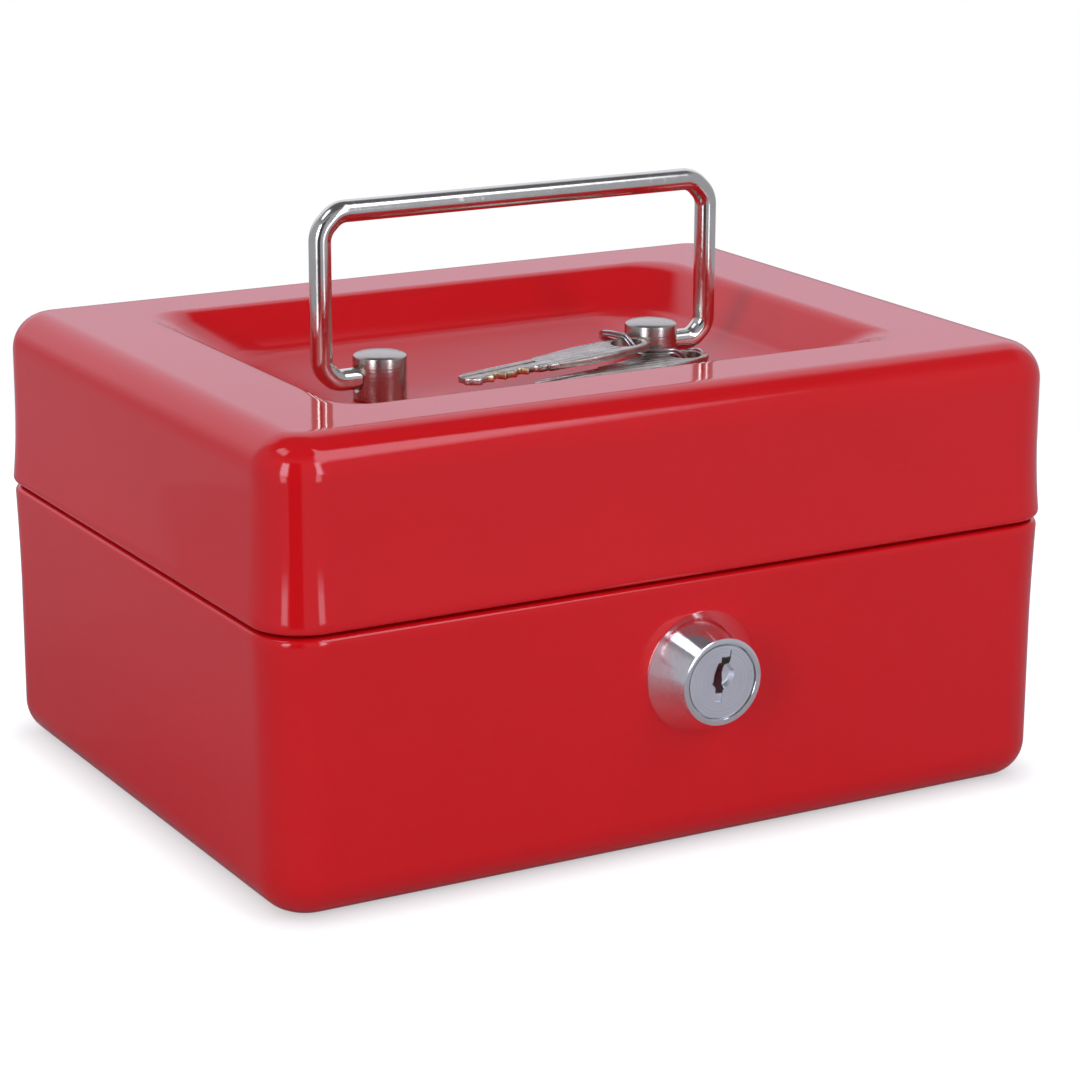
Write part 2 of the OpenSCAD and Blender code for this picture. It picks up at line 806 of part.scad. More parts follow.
module hinge_lid_leaf(side) {
    color(red) {
        hinge_plate(side, 1);
        knuckle(side * hinge_x - middle_len / 2, side * hinge_x + middle_len / 2, 1,
            pin_r + pin_clearance);
    }
}

module hinge_pin(side) {
    color(steel)
        translate([side * hinge_x - hinge_len / 2 - pin_end, hinge_y, hinge_z])
            rotate([0, 90, 0])
                cylinder(r = pin_r, h = hinge_len + 2 * pin_end);
}

module hinge_base_leaf_left() { hinge_base_leaf(-1); }
module hinge_base_leaf_right() { hinge_base_leaf(1); }
module hinge_lid_leaf_left() { hinge_lid_leaf(-1); }
module hinge_lid_leaf_right() { hinge_lid_leaf(1); }
module hinge_pin_left() { hinge_pin(-1); }
module hinge_pin_right() { hinge_pin(1); }

// ---- Tray ----

module tray_support(side) {
    color(red) {
        span([side * (inner_side_x - ledge_w), tray_mid_y - ledge_len / 2, tray_z - ledge_t],
            [side * inner_side_x, tray_mid_y + ledge_len / 2, tray_z]);
        span([side * (inner_side_x - ledge_t), tray_mid_y - ledge_len / 2, tray_z - ledge_flange_h],
            [side * inner_side_x, tray_mid_y + ledge_len / 2, tray_z]);
    }
}

module tray_support_left() { tray_support(-1); }
module tray_support_right() { tray_support(1); }

// Round-bottomed coin well: half circle below, straight sides above
module coin_well(x) {
    r = well_w / 2;
    bottom = tray_z + tray_t;
    translate([x, well_front_y + well_len, 0])
        rotate([90, 0, 0])
            linear_extrude(height = well_len)
                polygon(concat(arc([0, bottom + r], r, 180, 360, 14),
                    [[r, tray_top + over], [-r, tray_top + over]]));
}

// Hollow from below between two neighbouring wells, centred on x
module well_core(x) {
    c = (well_w + tray_t) / 2;
    r = well_w / 2 + tray_t;
    line = arc([-c, tray_z + r], r, -62, -18, 6);
    first = line[0].x;
    translate([x, well_front_y + well_len, 0])
        rotate([90, 0, 0])
            linear_extrude(height = well_len)
                polygon(concat([[first, tray_z - over]], line,
                    [for (i = [len(line) - 1:-1:0]) [-line[i].x, line[i].y]],
                    [[-first, tray_z - over]]));
}

module coin_tray() {
    half = tray_w / 2;
    color(black) {
        difference() {
            rounded_block([-half, tray_front_y, tray_z], [half, tray_back_y, tray_top],
                tray_corner_r);
            for (i = [0:well_count - 1])
                coin_well(-half + tray_t + well_w / 2 + i * (well_w + tray_t));
            for (i = [0:bin_count - 1]) {
                x0 = -half + tray_t + i * (bin_w + tray_t);
                rounded_block([x0, tray_front_y + tray_t, tray_z + tray_t],
                    [x0 + bin_w, bin_back_y, tray_top + over], tray_corner_r - tray_t);
            }
            // Hollows moulded under the wells, between their round bottoms
            for (i = [1:well_count - 1])
                well_core(-half + tray_t / 2 + i * (well_w + tray_t));
        }
        span([-lug_w / 2, bin_back_y - (lug_t - tray_t) / 2, tray_top - over],
            [lug_w / 2, bin_back_y + (lug_t + tray_t) / 2, tray_top + lug_h]);
    }
}

// ---- Keys ----

// Smooth step from 0 to 1 as a goes from a0 to a1
function ease(a, a0, a1) =
    let (t = min(1, max(0, (a - a0) / (a1 - a0)))) t * t * (3 - 2 * t);

// Height of the ring's middle at angle a, which runs from 0 down to -360:
// under key two's end, up through its hole, under key one's end, up
// through its hole, and round the back down to the start
function ring_z(a) = ring_low
    + ring_lift * ease(key_two_angle - a, -key_two_climb, key_two_climb)
    + ring_lift * ease(key_one_angle - a, -key_one_climb, key_one_climb)
    - 2 * ring_lift * ease(-a, -ring_fall[0], -ring_fall[1]);

// Slope of the ring's line at angle a, in degrees, positive where it climbs
function ring_slope(a) =
    atan((ring_z(a - 1) - ring_z(a + 1)) / (2 * ring_r * sin(1)));

// Middle of the wire n degrees along the ring's two turns: the first turn
// lies square under the second, and the wire crosses over in the gap
function ring_point(n) =
    let (
        a = -(n % 360),
        rise = ring_wire_d * (ease(n, 360 - ring_gap, 360 + ring_gap) - 0.5),
        lean = ring_slope(a),
        b = a + rise * sin(lean) / (ring_r * sin(1)))
    [ring_x + ring_r * cos(b), ring_y + ring_r * sin(b), ring_z(a) + rise * cos(lean)];

module key_ring() {
    turns = 720 - 2 * ring_gap;
    count = 2 * ring_steps;
    pts = [for (i = [0:count])
        let (n = ring_gap + turns * i / count, a = -(n % 360), p = ring_point(n))
        for (k = [0:ring_sides - 1])
            let (b = 360 * (k + 0.5) / ring_sides)
            p + ring_wire_r * 0.95 * [cos(b) * cos(a), cos(b) * sin(a), sin(b)]];
    sides = [for (i = [0:count - 1]) for (k = [0:ring_sides - 1])
        let (k1 = (k + 1) % ring_sides, m = i * ring_sides)
        [m + k, m + k1, m + ring_sides + k1, m + ring_sides + k]];
    caps = [[for (k = [0:ring_sides - 1]) ring_sides - 1 - k],
        [for (k = [0:ring_sides - 1]) count * ring_sides + k]];
    color(steel)
        polyhedron(pts, concat(sides, caps), convexity = 4);
}

// Half outline of a bow: distance in from its end, and half its width
bow_half = [
    [0, bow_end_w / 2],
    [bow_end_l, bow_end_w / 2 + bow_end_out],
    [bow_wide_from, bow_w / 2],
    [bow_wide_to, bow_w / 2],
    [bow_l - bow_foot_l, blade_w / 2 + bow_foot_out],
    [bow_l, blade_w / 2 + bow_foot_out]];

// One key lying flat, its hole at the origin, its blade towards -X and the
// cuts along the blade's front edge
module key_shape() {
    end_x = hole_from_end;
    shoulder_x = end_x - bow_l;
    tip_x = end_x - key_l;
    blade = blade_w / 2;
    step = (shoulder_x - tip_x - tip_l - neck_l) / len(key_cuts);
    cut_line = [for (i = [0:len(key_cuts) - 1])
        let (x = tip_x + tip_l + i * step, y = key_cuts[i] - blade)
        each [[x, -blade], [x + step * 0.3, y], [x + step * 0.7, y]]];
    difference() {
        linear_extrude(height = key_t)
            polygon(concat(
                [for (p = bow_half) [end_x - p.x, p.y]],
                [[shoulder_x, blade], [tip_x + tip_back_slant.x, blade],
                    [tip_x, blade - tip_back_slant.y],
                    [tip_x, tip_slant.y - blade],
                    [tip_x + tip_slant.x, -blade]],
                cut_line,
                [[shoulder_x - neck_l, -blade], [shoulder_x, -blade]],
                [for (i = [len(bow_half) - 1:-1:0]) [end_x - bow_half[i].x, -bow_half[i].y]]));
        translate([0, 0, -over])
            cylinder(d = bow_hole_d, h = key_t + 2 * over);
        // Long grooves along both faces of the blade
        for (z = [key_t - groove_t, groove_t - over])
            translate([tip_x - over, 0, z])
                cube([shoulder_x - tip_x + over - groove_gap, groove_w, over]);
    }
}

// Places a key with its hole on the ring at the given angle and distance
// outside the ring's line: height of its underside at the hole, turn in
// plan, and slope down towards its tip
module key_at(angle, out, bottom, turn, slope) {
    r = ring_r + out;
    translate([ring_x + r * cos(angle), ring_y + r * sin(angle), bottom])
        rotate([0, -slope, turn])
            key_shape();
}

module key_two() {
    color(bright)
        key_at(key_two_angle, key_two_out, ring_low + turn_t / 2 + key_clear,
            key_two_turn, key_two_slope);
}

module key_one() {
    color(bright)
        key_at(key_one_angle, key_one_out, ring_low + ring_lift + turn_t / 2 + key_clear,
            key_one_turn, key_one_slope);
}

base_shell();
lock_housing();
lock_nut();
hinge_base_leaf_left();
hinge_base_leaf_right();
hinge_pin_left();
hinge_pin_right();
tray_support_left();
tray_support_right();
lid_shell();
handle_post_left();
handle_post_right();
post_washer_left();
post_washer_right();
catch_plate();
hinge_lid_leaf_left();
hinge_lid_leaf_right();
handle_bail();
lock_plug();
lock_wafers();
lock_cam();
cam_screw();
coin_tray();
key_ring();
key_one();
key_two();
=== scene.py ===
"""Dresses the cash box: pressed shells, wire handle, lock, keys, tray, stage, lights and camera.

Every length is in metres. The sizes written in millimetres are turned into metres by MM.
"""
from __future__ import annotations

import logging
import math
from dataclasses import asdict, dataclass, field
from enum import Enum
from typing import Callable, Iterable, Sequence

import bmesh
import bpy
from bpy.types import Material, Node, NodeSocket, NodeTree, Object
from mathutils import Matrix, Vector

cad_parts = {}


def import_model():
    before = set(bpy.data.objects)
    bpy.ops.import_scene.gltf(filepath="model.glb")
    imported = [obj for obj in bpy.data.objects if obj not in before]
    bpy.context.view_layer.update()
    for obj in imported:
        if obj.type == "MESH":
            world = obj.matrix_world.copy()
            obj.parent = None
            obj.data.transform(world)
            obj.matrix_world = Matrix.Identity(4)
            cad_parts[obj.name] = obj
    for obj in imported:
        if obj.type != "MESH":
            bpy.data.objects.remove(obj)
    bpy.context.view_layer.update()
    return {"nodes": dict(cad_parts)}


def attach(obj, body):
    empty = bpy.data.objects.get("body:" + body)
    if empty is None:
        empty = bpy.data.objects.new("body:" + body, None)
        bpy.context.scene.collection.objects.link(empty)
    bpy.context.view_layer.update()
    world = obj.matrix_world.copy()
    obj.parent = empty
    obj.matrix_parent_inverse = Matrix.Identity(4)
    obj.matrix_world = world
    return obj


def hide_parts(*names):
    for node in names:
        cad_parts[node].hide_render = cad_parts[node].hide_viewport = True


LOG = logging.getLogger("cash_box")
MM = 0.001

Point = tuple[float, float, float]
Flat = tuple[float, float]

# Numbers of the colour sockets on a Mix node.
MIX_SHARE, MIX_FIRST, MIX_SECOND, MIX_RESULT = 0, 6, 7, 2
WHITE = (1.0, 1.0, 1.0, 1.0)


class Body(str, Enum):
    """The moving bodies that pieces ride on."""

    BASE = "base"
    LID = "lid"
    HANDLE = "handle"
    PLUG = "plug"
    TRAY = "tray"
    KEYS = "keys"


class Axis(Enum):
    """The direction that a round piece is turned about."""

    UP = 0
    OUT_OF_FRONT = 1


# ---------------------------------------------------------------- mesh helpers


def mesh_object(name: str, bm: bmesh.types.BMesh, sharp_deg: float = 32.0) -> Object:
    """Turns a bmesh into a smooth object whose steep edges stay sharp.

    Args:
        name: the new object's name.
        bm: the finished bmesh, in metres; it is freed here.
        sharp_deg: edges that bend more than this stay sharp.

    Returns:
        The linked object.
    """
    bm.normal_update()
    limit = math.radians(sharp_deg)
    for face in bm.faces:
        face.smooth = True
    for edge in bm.edges:
        edge.smooth = edge.is_manifold and edge.calc_face_angle(0.0) < limit
    mesh = bpy.data.meshes.new(name)
    bm.to_mesh(mesh)
    bm.free()
    obj = bpy.data.objects.new(name, mesh)
    bpy.context.scene.collection.objects.link(obj)
    return obj


def bake_modifiers(obj: Object, sharp_deg: float = 32.0) -> Object:
    """Applies an object's modifiers and marks its sharp edges again.

    Args:
        obj: the object to bake.
        sharp_deg: edges that bend more than this stay sharp.

    Returns:
        A new object of the same name that takes the old one's place.
    """
    graph = bpy.context.evaluated_depsgraph_get()
    bm = bmesh.new()
    bm.from_mesh(obj.evaluated_get(graph).to_mesh())
    name = obj.name
    old_mesh = obj.data
    bpy.data.objects.remove(obj)
    bpy.data.meshes.remove(old_mesh)
    return mesh_object(name, bm, sharp_deg)


def cut(obj: Object, tools: Sequence[Object]) -> Object:
    """Subtracts closed tool bodies from an object.

    Args:
        obj: the object that is cut.
        tools: closed objects, removed afterwards.

    Returns:
        The object that takes the old one's place.
    """
    for tool in tools:
        step = obj.modifiers.new("cut", "BOOLEAN")
        step.operation = "DIFFERENCE"
        step.solver = "EXACT"
        step.object = tool
    bpy.context.view_layer.update()
    made = bake_modifiers(obj)
    for tool in tools:
        mesh = tool.data
        bpy.data.objects.remove(tool)
        bpy.data.meshes.remove(mesh)
    return made


def prism(name: str, outline: Sequence[Flat], depth: float, place: Matrix,
          bevel: float = 0.0) -> Object:
    """Builds a flat plate from an outline.

    Args:
        name: the object's name.
        outline: points round the plate, counter-clockwise, in metres.
        depth: thickness along the plate's own Z.
        place: where the plate goes.
        bevel: width of the rounding along its steep edges, or 0.

    Returns:
        The plate.
    """
    bm = bmesh.new()
    low = [bm.verts.new((x, y, 0.0)) for x, y in outline]
    high = [bm.verts.new((x, y, depth)) for x, y in outline]
    bm.faces.new(list(reversed(low)))
    bm.faces.new(high)
    for i in range(len(low)):
        j = (i + 1) % len(low)
        bm.faces.new((low[i], low[j], high[j], high[i]))
    if bevel > 0:
        bm.normal_update()
        steep = [e for e in bm.edges if e.calc_face_angle(0.0) > math.radians(60)]
        bmesh.ops.bevel(bm, geom=steep, offset=bevel, segments=2, profile=0.5,
                        affect="EDGES", clamp_overlap=True)
    bm.transform(place)
    return mesh_object(name, bm)


def turned(name: str, outline: Sequence[Flat], place: Matrix, steps: int = 96) -> Object:
    """Builds a round piece by turning a closed outline about its own Z.

    Args:
        name: the object's name.
        outline: (radius, height) points in order; a point at radius 0 is on the axis.
        place: where the piece goes.
        steps: facets round the piece.

    Returns:
        The turned piece.
    """
    bm = bmesh.new()
    rings: list[list[bmesh.types.BMVert]] = []
    for r, z in outline:
        if r < 1e-9:
            rings.append([bm.verts.new((0.0, 0.0, z))])
            continue
        turn = 2 * math.pi / steps
        rings.append([bm.verts.new((r * math.cos(i * turn), r * math.sin(i * turn), z))
                      for i in range(steps)])
    closed = outline[0][0] > 1e-9
    pairs = list(zip(rings, rings[1:])) + ([(rings[-1], rings[0])] if closed else [])
    for a, b in pairs:
        for i in range(steps):
            j = (i + 1) % steps
            corners = [a[i % len(a)], a[j % len(a)], b[j % len(b)], b[i % len(b)]]
            seen: list[bmesh.types.BMVert] = []
            for corner in corners:
                if corner not in seen:
                    seen.append(corner)
            if len(seen) > 2:
                bm.faces.new(seen)
    bmesh.ops.recalc_face_normals(bm, faces=bm.faces)
    bm.transform(place)
    return mesh_object(name, bm)


def tube(name: str, path: Sequence[Vector], radius: float, sides: int = 28) -> Object:
    """Sweeps a round wire along a path, with closed ends.

    Args:
        name: the object's name.
        path: points along the wire's middle, in metres.
        radius: the wire's radius.
        sides: facets round the wire.

    Returns:
        The wire.
    """
    bm = bmesh.new()
    tangents = []
    for i, _ in enumerate(path):
        before, after = path[max(i - 1, 0)], path[min(i + 1, len(path) - 1)]
        tangents.append((after - before).normalized())
    normal = tangents[0].orthogonal().normalized()
    rings = []
    for point, tangent in zip(path, tangents):
        normal = (normal - tangent * normal.dot(tangent)).normalized()
        other = tangent.cross(normal)
        rings.append([bm.verts.new(point + radius * (math.cos(a) * normal + math.sin(a) * other))
                      for a in (2 * math.pi * k / sides for k in range(sides))])
    for a, b in zip(rings, rings[1:]):
        for k in range(sides):
            m = (k + 1) % sides
            bm.faces.new((a[k], a[m], b[m], b[k]))
    bm.faces.new(list(reversed(rings[0])))
    bm.faces.new(rings[-1])
    return mesh_object(name, bm, 40.0)


def eased(t: float) -> float:
    """Smooth step from 0 to 1 as t goes from 0 to 1."""
    t = min(1.0, max(0.0, t))
    return t * t * (3 - 2 * t)


def rectangle(x0: float, x1: float, y0: float, y1: float) -> list[Flat]:
    """Corners of a rectangle, counter-clockwise."""
    return [(x0, y0), (x1, y0), (x1, y1), (x0, y1)]


def arc_points(centre: Flat, radius: float, start: float, end: float, steps: int) -> list[Flat]:
    """Points along an arc, both ends included.

    Args:
        centre: the arc's centre.
        radius: its radius.
        start: first angle in degrees.
        end: last angle in degrees.
        steps: how many pieces the arc has.

    Returns:
        The points in order.
    """
    out = []
    for i in range(steps + 1):
        a = math.radians(start + (end - start) * i / steps)
        out.append((centre[0] + radius * math.cos(a), centre[1] + radius * math.sin(a)))
    return out


# ---------------------------------------------------------------- materials


class Nodes:
    """A small builder that adds and joins nodes in one tree."""

    def __init__(self, tree: NodeTree) -> None:
        """Starts an empty tree.

        Args:
            tree: the tree to build in; its nodes are cleared.
        """
        self.tree = tree
        tree.nodes.clear()

    def add(self, kind: str, **values: object) -> Node:
        """Adds a node.

        Args:
            kind: the node's type, without the ShaderNode prefix.
            **values: properties; or inputs, with spaces written as underscores, and the link
                or value that each of them takes.

        Returns:
            The node.
        """
        node = self.tree.nodes.new(kind if kind.startswith("Node") else "ShaderNode" + kind)
        for key, value in values.items():
            if hasattr(node, key) and key not in node.inputs:
                setattr(node, key, value)
                continue
            self.put(node, key.replace("_", " "), value)
        return node

    def put(self, node: Node, name: str | int, value: object) -> None:
        """Sets or links one input.

        Args:
            node: the node.
            name: the input's name or number.
            value: a socket to link, or a value to set.
        """
        socket = node.inputs[name]
        if isinstance(value, NodeSocket):
            self.tree.links.new(value, socket)
        else:
            socket.default_value = value

    def maths(self, operation: str, a: object, b: object = 0.0, clamp: bool = False) -> NodeSocket:
        """Adds a maths step.

        Args:
            operation: the maths operation.
            a: first value or socket.
            b: second value or socket.
            clamp: whether the result stays within 0 and 1.

        Returns:
            The result.
        """
        node = self.tree.nodes.new("ShaderNodeMath")
        node.operation = operation
        node.use_clamp = clamp
        self.put(node, 0, a)
        self.put(node, 1, b)
        return node.outputs[0]

    def spread(self, value: NodeSocket, low: float, high: float, to_low: float,
               to_high: float) -> NodeSocket:
        """Maps a range of values onto another.

        Args:
            value: the incoming value.
            low: value that becomes to_low.
            high: value that becomes to_high.
            to_low: result at the low end.
            to_high: result at the high end.

        Returns:
            The mapped value.
        """
        node = self.tree.nodes.new("ShaderNodeMapRange")
        for name, number in (("From Min", low), ("From Max", high), ("To Min", to_low),
                             ("To Max", to_high)):
            node.inputs[name].default_value = number
        self.put(node, "Value", value)
        return node.outputs["Result"]

    def axes(self, vector: NodeSocket) -> Sequence[NodeSocket]:
        """Splits a vector.

        Args:
            vector: the vector's socket.

        Returns:
            The sockets of its X, Y and Z parts.
        """
        split = self.add("SeparateXYZ")
        self.put(split, 0, vector)
        return split.outputs

    def place(self, scale: float | Point = 1.0, turn: Point = (0.0, 0.0, 0.0)) -> NodeSocket:
        """Adds the object's own coordinates, in scaled metres.

        Args:
            scale: one factor, or one for each axis.
            turn: rotation in degrees about each axis.

        Returns:
            The coordinates.
        """
        source = self.tree.nodes.new("ShaderNodeTexCoord")
        mapping = self.tree.nodes.new("ShaderNodeMapping")
        mapping.inputs["Scale"].default_value = (scale,) * 3 if isinstance(scale, float) else scale
        mapping.inputs["Rotation"].default_value = [math.radians(a) for a in turn]
        self.tree.links.new(source.outputs["Object"], mapping.inputs["Vector"])
        return mapping.outputs[0]

    def noise(self, vector: NodeSocket, scale: object, detail: float = 3.0,
              rough: float = 0.5) -> NodeSocket:
        """Adds a noise pattern.

        Args:
            vector: where it is read.
            scale: its scale, as a number or socket.
            detail: octaves.
            rough: how strong the fine octaves are.

        Returns:
            The noise value.
        """
        node = self.tree.nodes.new("ShaderNodeTexNoise")
        self.put(node, "Vector", vector)
        self.put(node, "Scale", scale)
        node.inputs["Detail"].default_value = detail
        node.inputs["Roughness"].default_value = rough
        return node.outputs["Fac"]


def new_group(name: str, inputs: dict[str, float], outputs: dict[str, str]
              ) -> tuple[NodeTree, Nodes, Node, Node]:
    """Starts a shader node group.

    Args:
        name: the group's name.
        inputs: names and default values of its number inputs.
        outputs: names of its outputs, with Float or Vector.

    Returns:
        The tree, its builder, and its input and output nodes.
    """
    tree = bpy.data.node_groups.new(name, "ShaderNodeTree")
    for key, value in inputs.items():
        made = tree.interface.new_socket(key, in_out="INPUT", socket_type="NodeSocketFloat")
        made.default_value = value
    for key, kind in outputs.items():
        tree.interface.new_socket(key, in_out="OUTPUT", socket_type="NodeSocket" + kind)
    build = Nodes(tree)
    return tree, build, build.add("NodeGroupInput"), build.add("NodeGroupOutput")


class Effects:
    """The shared surface effects, each built once as a node group."""

    def __init__(self) -> None:
        """Builds the three groups."""
        self.smudges = self._smudges()
        self.scratches = self._scratches()
        self.ripple = self._ripple()

    @staticmethod
    def _smudges() -> NodeTree:
        """Soft uneven patches, as a roughness value.

        Returns:
            The node group.
        """
        tree, b, inp, out = new_group(
            "soft_smudges", {"Size": 40.0, "Low": 0.1, "High": 0.2}, {"Value": "Float"})
        wide = b.noise(b.place(), inp.outputs["Size"], 4.0, 0.55)
        fine = b.noise(b.place((1.0, 1.6, 0.7)), b.maths("MULTIPLY", inp.outputs["Size"], 7.0))
        both = b.maths("ADD", b.maths("MULTIPLY", wide, 0.72), b.maths("MULTIPLY", fine, 0.28))
        part = b.spread(both, 0.36, 0.66, 0.0, 1.0)
        span = b.maths("SUBTRACT", inp.outputs["High"], inp.outputs["Low"])
        b.put(out, "Value", b.maths("ADD", inp.outputs["Low"], b.maths("MULTIPLY", part, span)))
        return tree

    @staticmethod
    def _scratches() -> NodeTree:
        """Fine hairlines in two directions, as a mask from 0 to 1.

        Returns:
            The node group.
        """
        tree, b, inp, out = new_group(
            "hairlines", {"Size": 900.0, "Amount": 0.5}, {"Mask": "Float"})
        lines = []
        for turn, stretch in (((14.0, 22.0, 31.0), (1.0, 0.04, 0.3)),
                              ((-21.0, 9.0, -48.0), (0.05, 1.0, 0.4))):
            grain = b.noise(b.place(stretch, turn), inp.outputs["Size"], 2.0, 0.6)
            lines.append(b.spread(grain, 0.58, 0.72, 0.0, 1.0))
        both = b.maths("MAXIMUM", lines[0], lines[1])
        b.put(out, "Mask", b.maths("MULTIPLY", both, inp.outputs["Amount"], clamp=True))
        return tree

    @staticmethod
    def _ripple() -> NodeTree:
        """Normal of a slightly uneven coat: a wide wave under a fine peel.

        Returns:
            The node group.
        """
        tree, b, inp, out = new_group(
            "coat_ripple", {"Wave": 0.3, "Peel": 0.05, "Wave Size": 30.0, "Peel Size": 900.0},
            {"Normal": "Vector"})
        wave = b.noise(b.place(), inp.outputs["Wave Size"], 1.0, 0.4)
        peel = b.noise(b.place(), inp.outputs["Peel Size"], 1.5, 0.5)
        low = b.add("Bump", Strength=inp.outputs["Wave"], Distance=0.001, Height=wave)
        high = b.add("Bump", Strength=inp.outputs["Peel"], Distance=0.0001, Height=peel,
                     Normal=low.outputs[0])
        b.put(out, "Normal", high.outputs[0])
        return tree


@dataclass(frozen=True)
class Finish:
    """What every finish shares: a name, a colour, a roughness and the first steps of its tree."""

    name: str
    color: Point
    rough: Flat = (0.1, 0.2)

    def start(self, **values: float) -> tuple[Material, Nodes, Node]:
        """Starts the material.

        Args:
            **values: the shader's plain values.

        Returns:
            The material, its builder and its shader.
        """
        material = bpy.data.materials.new(self.name)
        material.use_nodes = True
        build = Nodes(material.node_tree)
        shader = build.add("BsdfPrincipled", Base_Color=(*self.color, 1.0), **values)
        out = build.add("OutputMaterial")
        build.put(out, "Surface", shader.outputs[0])
        material.diffuse_color = (*self.color, 1.0)
        return material, build, shader

    def effect(self, b: Nodes, tree: NodeTree, **values: float) -> Node:
        """Places a shared effect.

        Args:
            b: the material's builder.
            tree: the effect's node group.
            **values: its inputs, with spaces written as underscores.

        Returns:
            The group node.
        """
        node = b.add("Group", node_tree=tree)
        for key, value in values.items():
            node.inputs[key.replace("_", " ")].default_value = value
        return node

    def marks(self, b: Nodes, effects: Effects, size: float, lines: Flat | None = None
              ) -> NodeSocket:
        """Roughness of a surface that gets handled: smudges, and hairlines if it takes any.

        Args:
            b: the material's builder.
            effects: the shared effects.
            size: how fine the smudges are.
            lines: how fine the hairlines are, and how strong.

        Returns:
            The roughness.
        """
        low, high = self.rough
        smudges = self.effect(b, effects.smudges, Size=size, Low=low, High=high).outputs[0]
        if lines is None:
            return smudges
        hairlines = self.effect(b, effects.scratches, Size=lines[0], Amount=lines[1])
        return b.maths("ADD", smudges, hairlines.outputs[0], clamp=True)

    def shade(self, factor: float) -> Point:
        """The finish's colour times a factor."""
        red, green, blue = self.color
        return red * factor, green * factor, blue * factor

    def two_tone(self, b: Nodes, shader: Node, second: Point, share: NodeSocket) -> None:
        """Gives the shader the finish's colour, with a second one laid over it in places.

        Args:
            b: the material's builder.
            shader: the material's shader.
            second: the second colour.
            share: how much of the second colour shows, from 0 to 1.
        """
        mix = b.add("Mix", data_type="RGBA")
        b.put(mix, MIX_FIRST, (*self.color, 1.0))
        b.put(mix, MIX_SECOND, (*second, 1.0))
        b.put(mix, MIX_SHARE, share)
        b.put(shader, "Base Color", mix.outputs[MIX_RESULT])


@dataclass(frozen=True)
class Enamel(Finish):
    """Glossy stoved enamel on pressed sheet steel."""

    deep: Point = (0.69, 0.0045, 0.0078)
    tone_size: float = 18.0
    wave: float = 0.06
    rough: Flat = (0.035, 0.08)
    recess_x: float = 57 * MM
    recess_y: float = 42 * MM
    recess_z: Flat = (72.2 * MM, 74.5 * MM)
    recess_from: float = 60 * MM
    recess_rough: float = 0.20

    def in_recess(self, b: Nodes) -> NodeSocket:
        """Mask of the recess's floor, which is duller than the faces that get handled.

        Args:
            b: the material's builder.

        Returns:
            1 on the floor of the recess, fading to 0 up its walls and outside it.
        """
        x, y, z = b.axes(b.place())
        low, high = self.recess_z
        mask = b.spread(z, low, high, 1.0, 0.0)
        for value, limit in ((b.maths("ABSOLUTE", x), self.recess_x),
                             (b.maths("ABSOLUTE", y), self.recess_y),
                             (b.maths("MULTIPLY", z, -1.0), -self.recess_from)):
            mask = b.maths("MULTIPLY", mask, b.maths("LESS_THAN", value, limit))
        return mask

    def build(self, effects: Effects) -> Material:
        """Builds the material.

        Args:
            effects: the shared effects.

        Returns:
            The material.
        """
        material, b, shader = self.start(IOR=1.5)
        tone = b.noise(b.place(), self.tone_size, 3.0, 0.6)
        self.two_tone(b, shader, self.deep, b.spread(tone, 0.35, 0.75, 0.0, 0.35))
        dull = b.maths("MULTIPLY", self.in_recess(b), self.recess_rough)
        marked = self.marks(b, effects, 26.0)
        b.put(shader, "Roughness", b.maths("ADD", marked, dull, clamp=True))
        ripple = self.effect(b, effects.ripple, Wave=self.wave, Peel=0.05, Wave_Size=34.0,
                             Peel_Size=700.0)
        b.put(shader, "Normal", ripple.outputs[0])
        return material


@dataclass(frozen=True)
class Plated(Finish):
    """Bright plating over a smooth or drawn metal surface.

    Where it shows only in other surfaces, its roughness is higher by blur.
    """

    rough: Flat = (0.04, 0.10)
    scratch: float = 0.10
    wave: float = 0.02
    wave_size: float = 120.0
    cloud_size: float = 160.0
    cloud_dark: float = 0.72
    blur: float = 0.0

    def build(self, effects: Effects) -> Material:
        """Builds the material.

        Args:
            effects: the shared effects.

        Returns:
            The material.
        """
        material, b, shader = self.start(Metallic=1.0)
        marked = self.marks(b, effects, 90.0, (1400.0, self.scratch))
        if self.blur:
            seen = b.add("LightPath").outputs["Is Camera Ray"]
            more = b.spread(seen, 0.0, 1.0, self.blur, 0.0)
            marked = b.maths("ADD", marked, more, clamp=True)
        b.put(shader, "Roughness", marked)
        cloud = b.noise(b.place(), self.cloud_size, 4.0, 0.6)
        self.two_tone(b, shader, self.shade(self.cloud_dark),
                      b.spread(cloud, 0.45, 0.8, 0.0, 0.5))
        ripple = self.effect(b, effects.ripple, Wave=self.wave, Peel=0.03,
                             Wave_Size=self.wave_size, Peel_Size=2500.0)
        b.put(shader, "Normal", ripple.outputs[0])
        return material


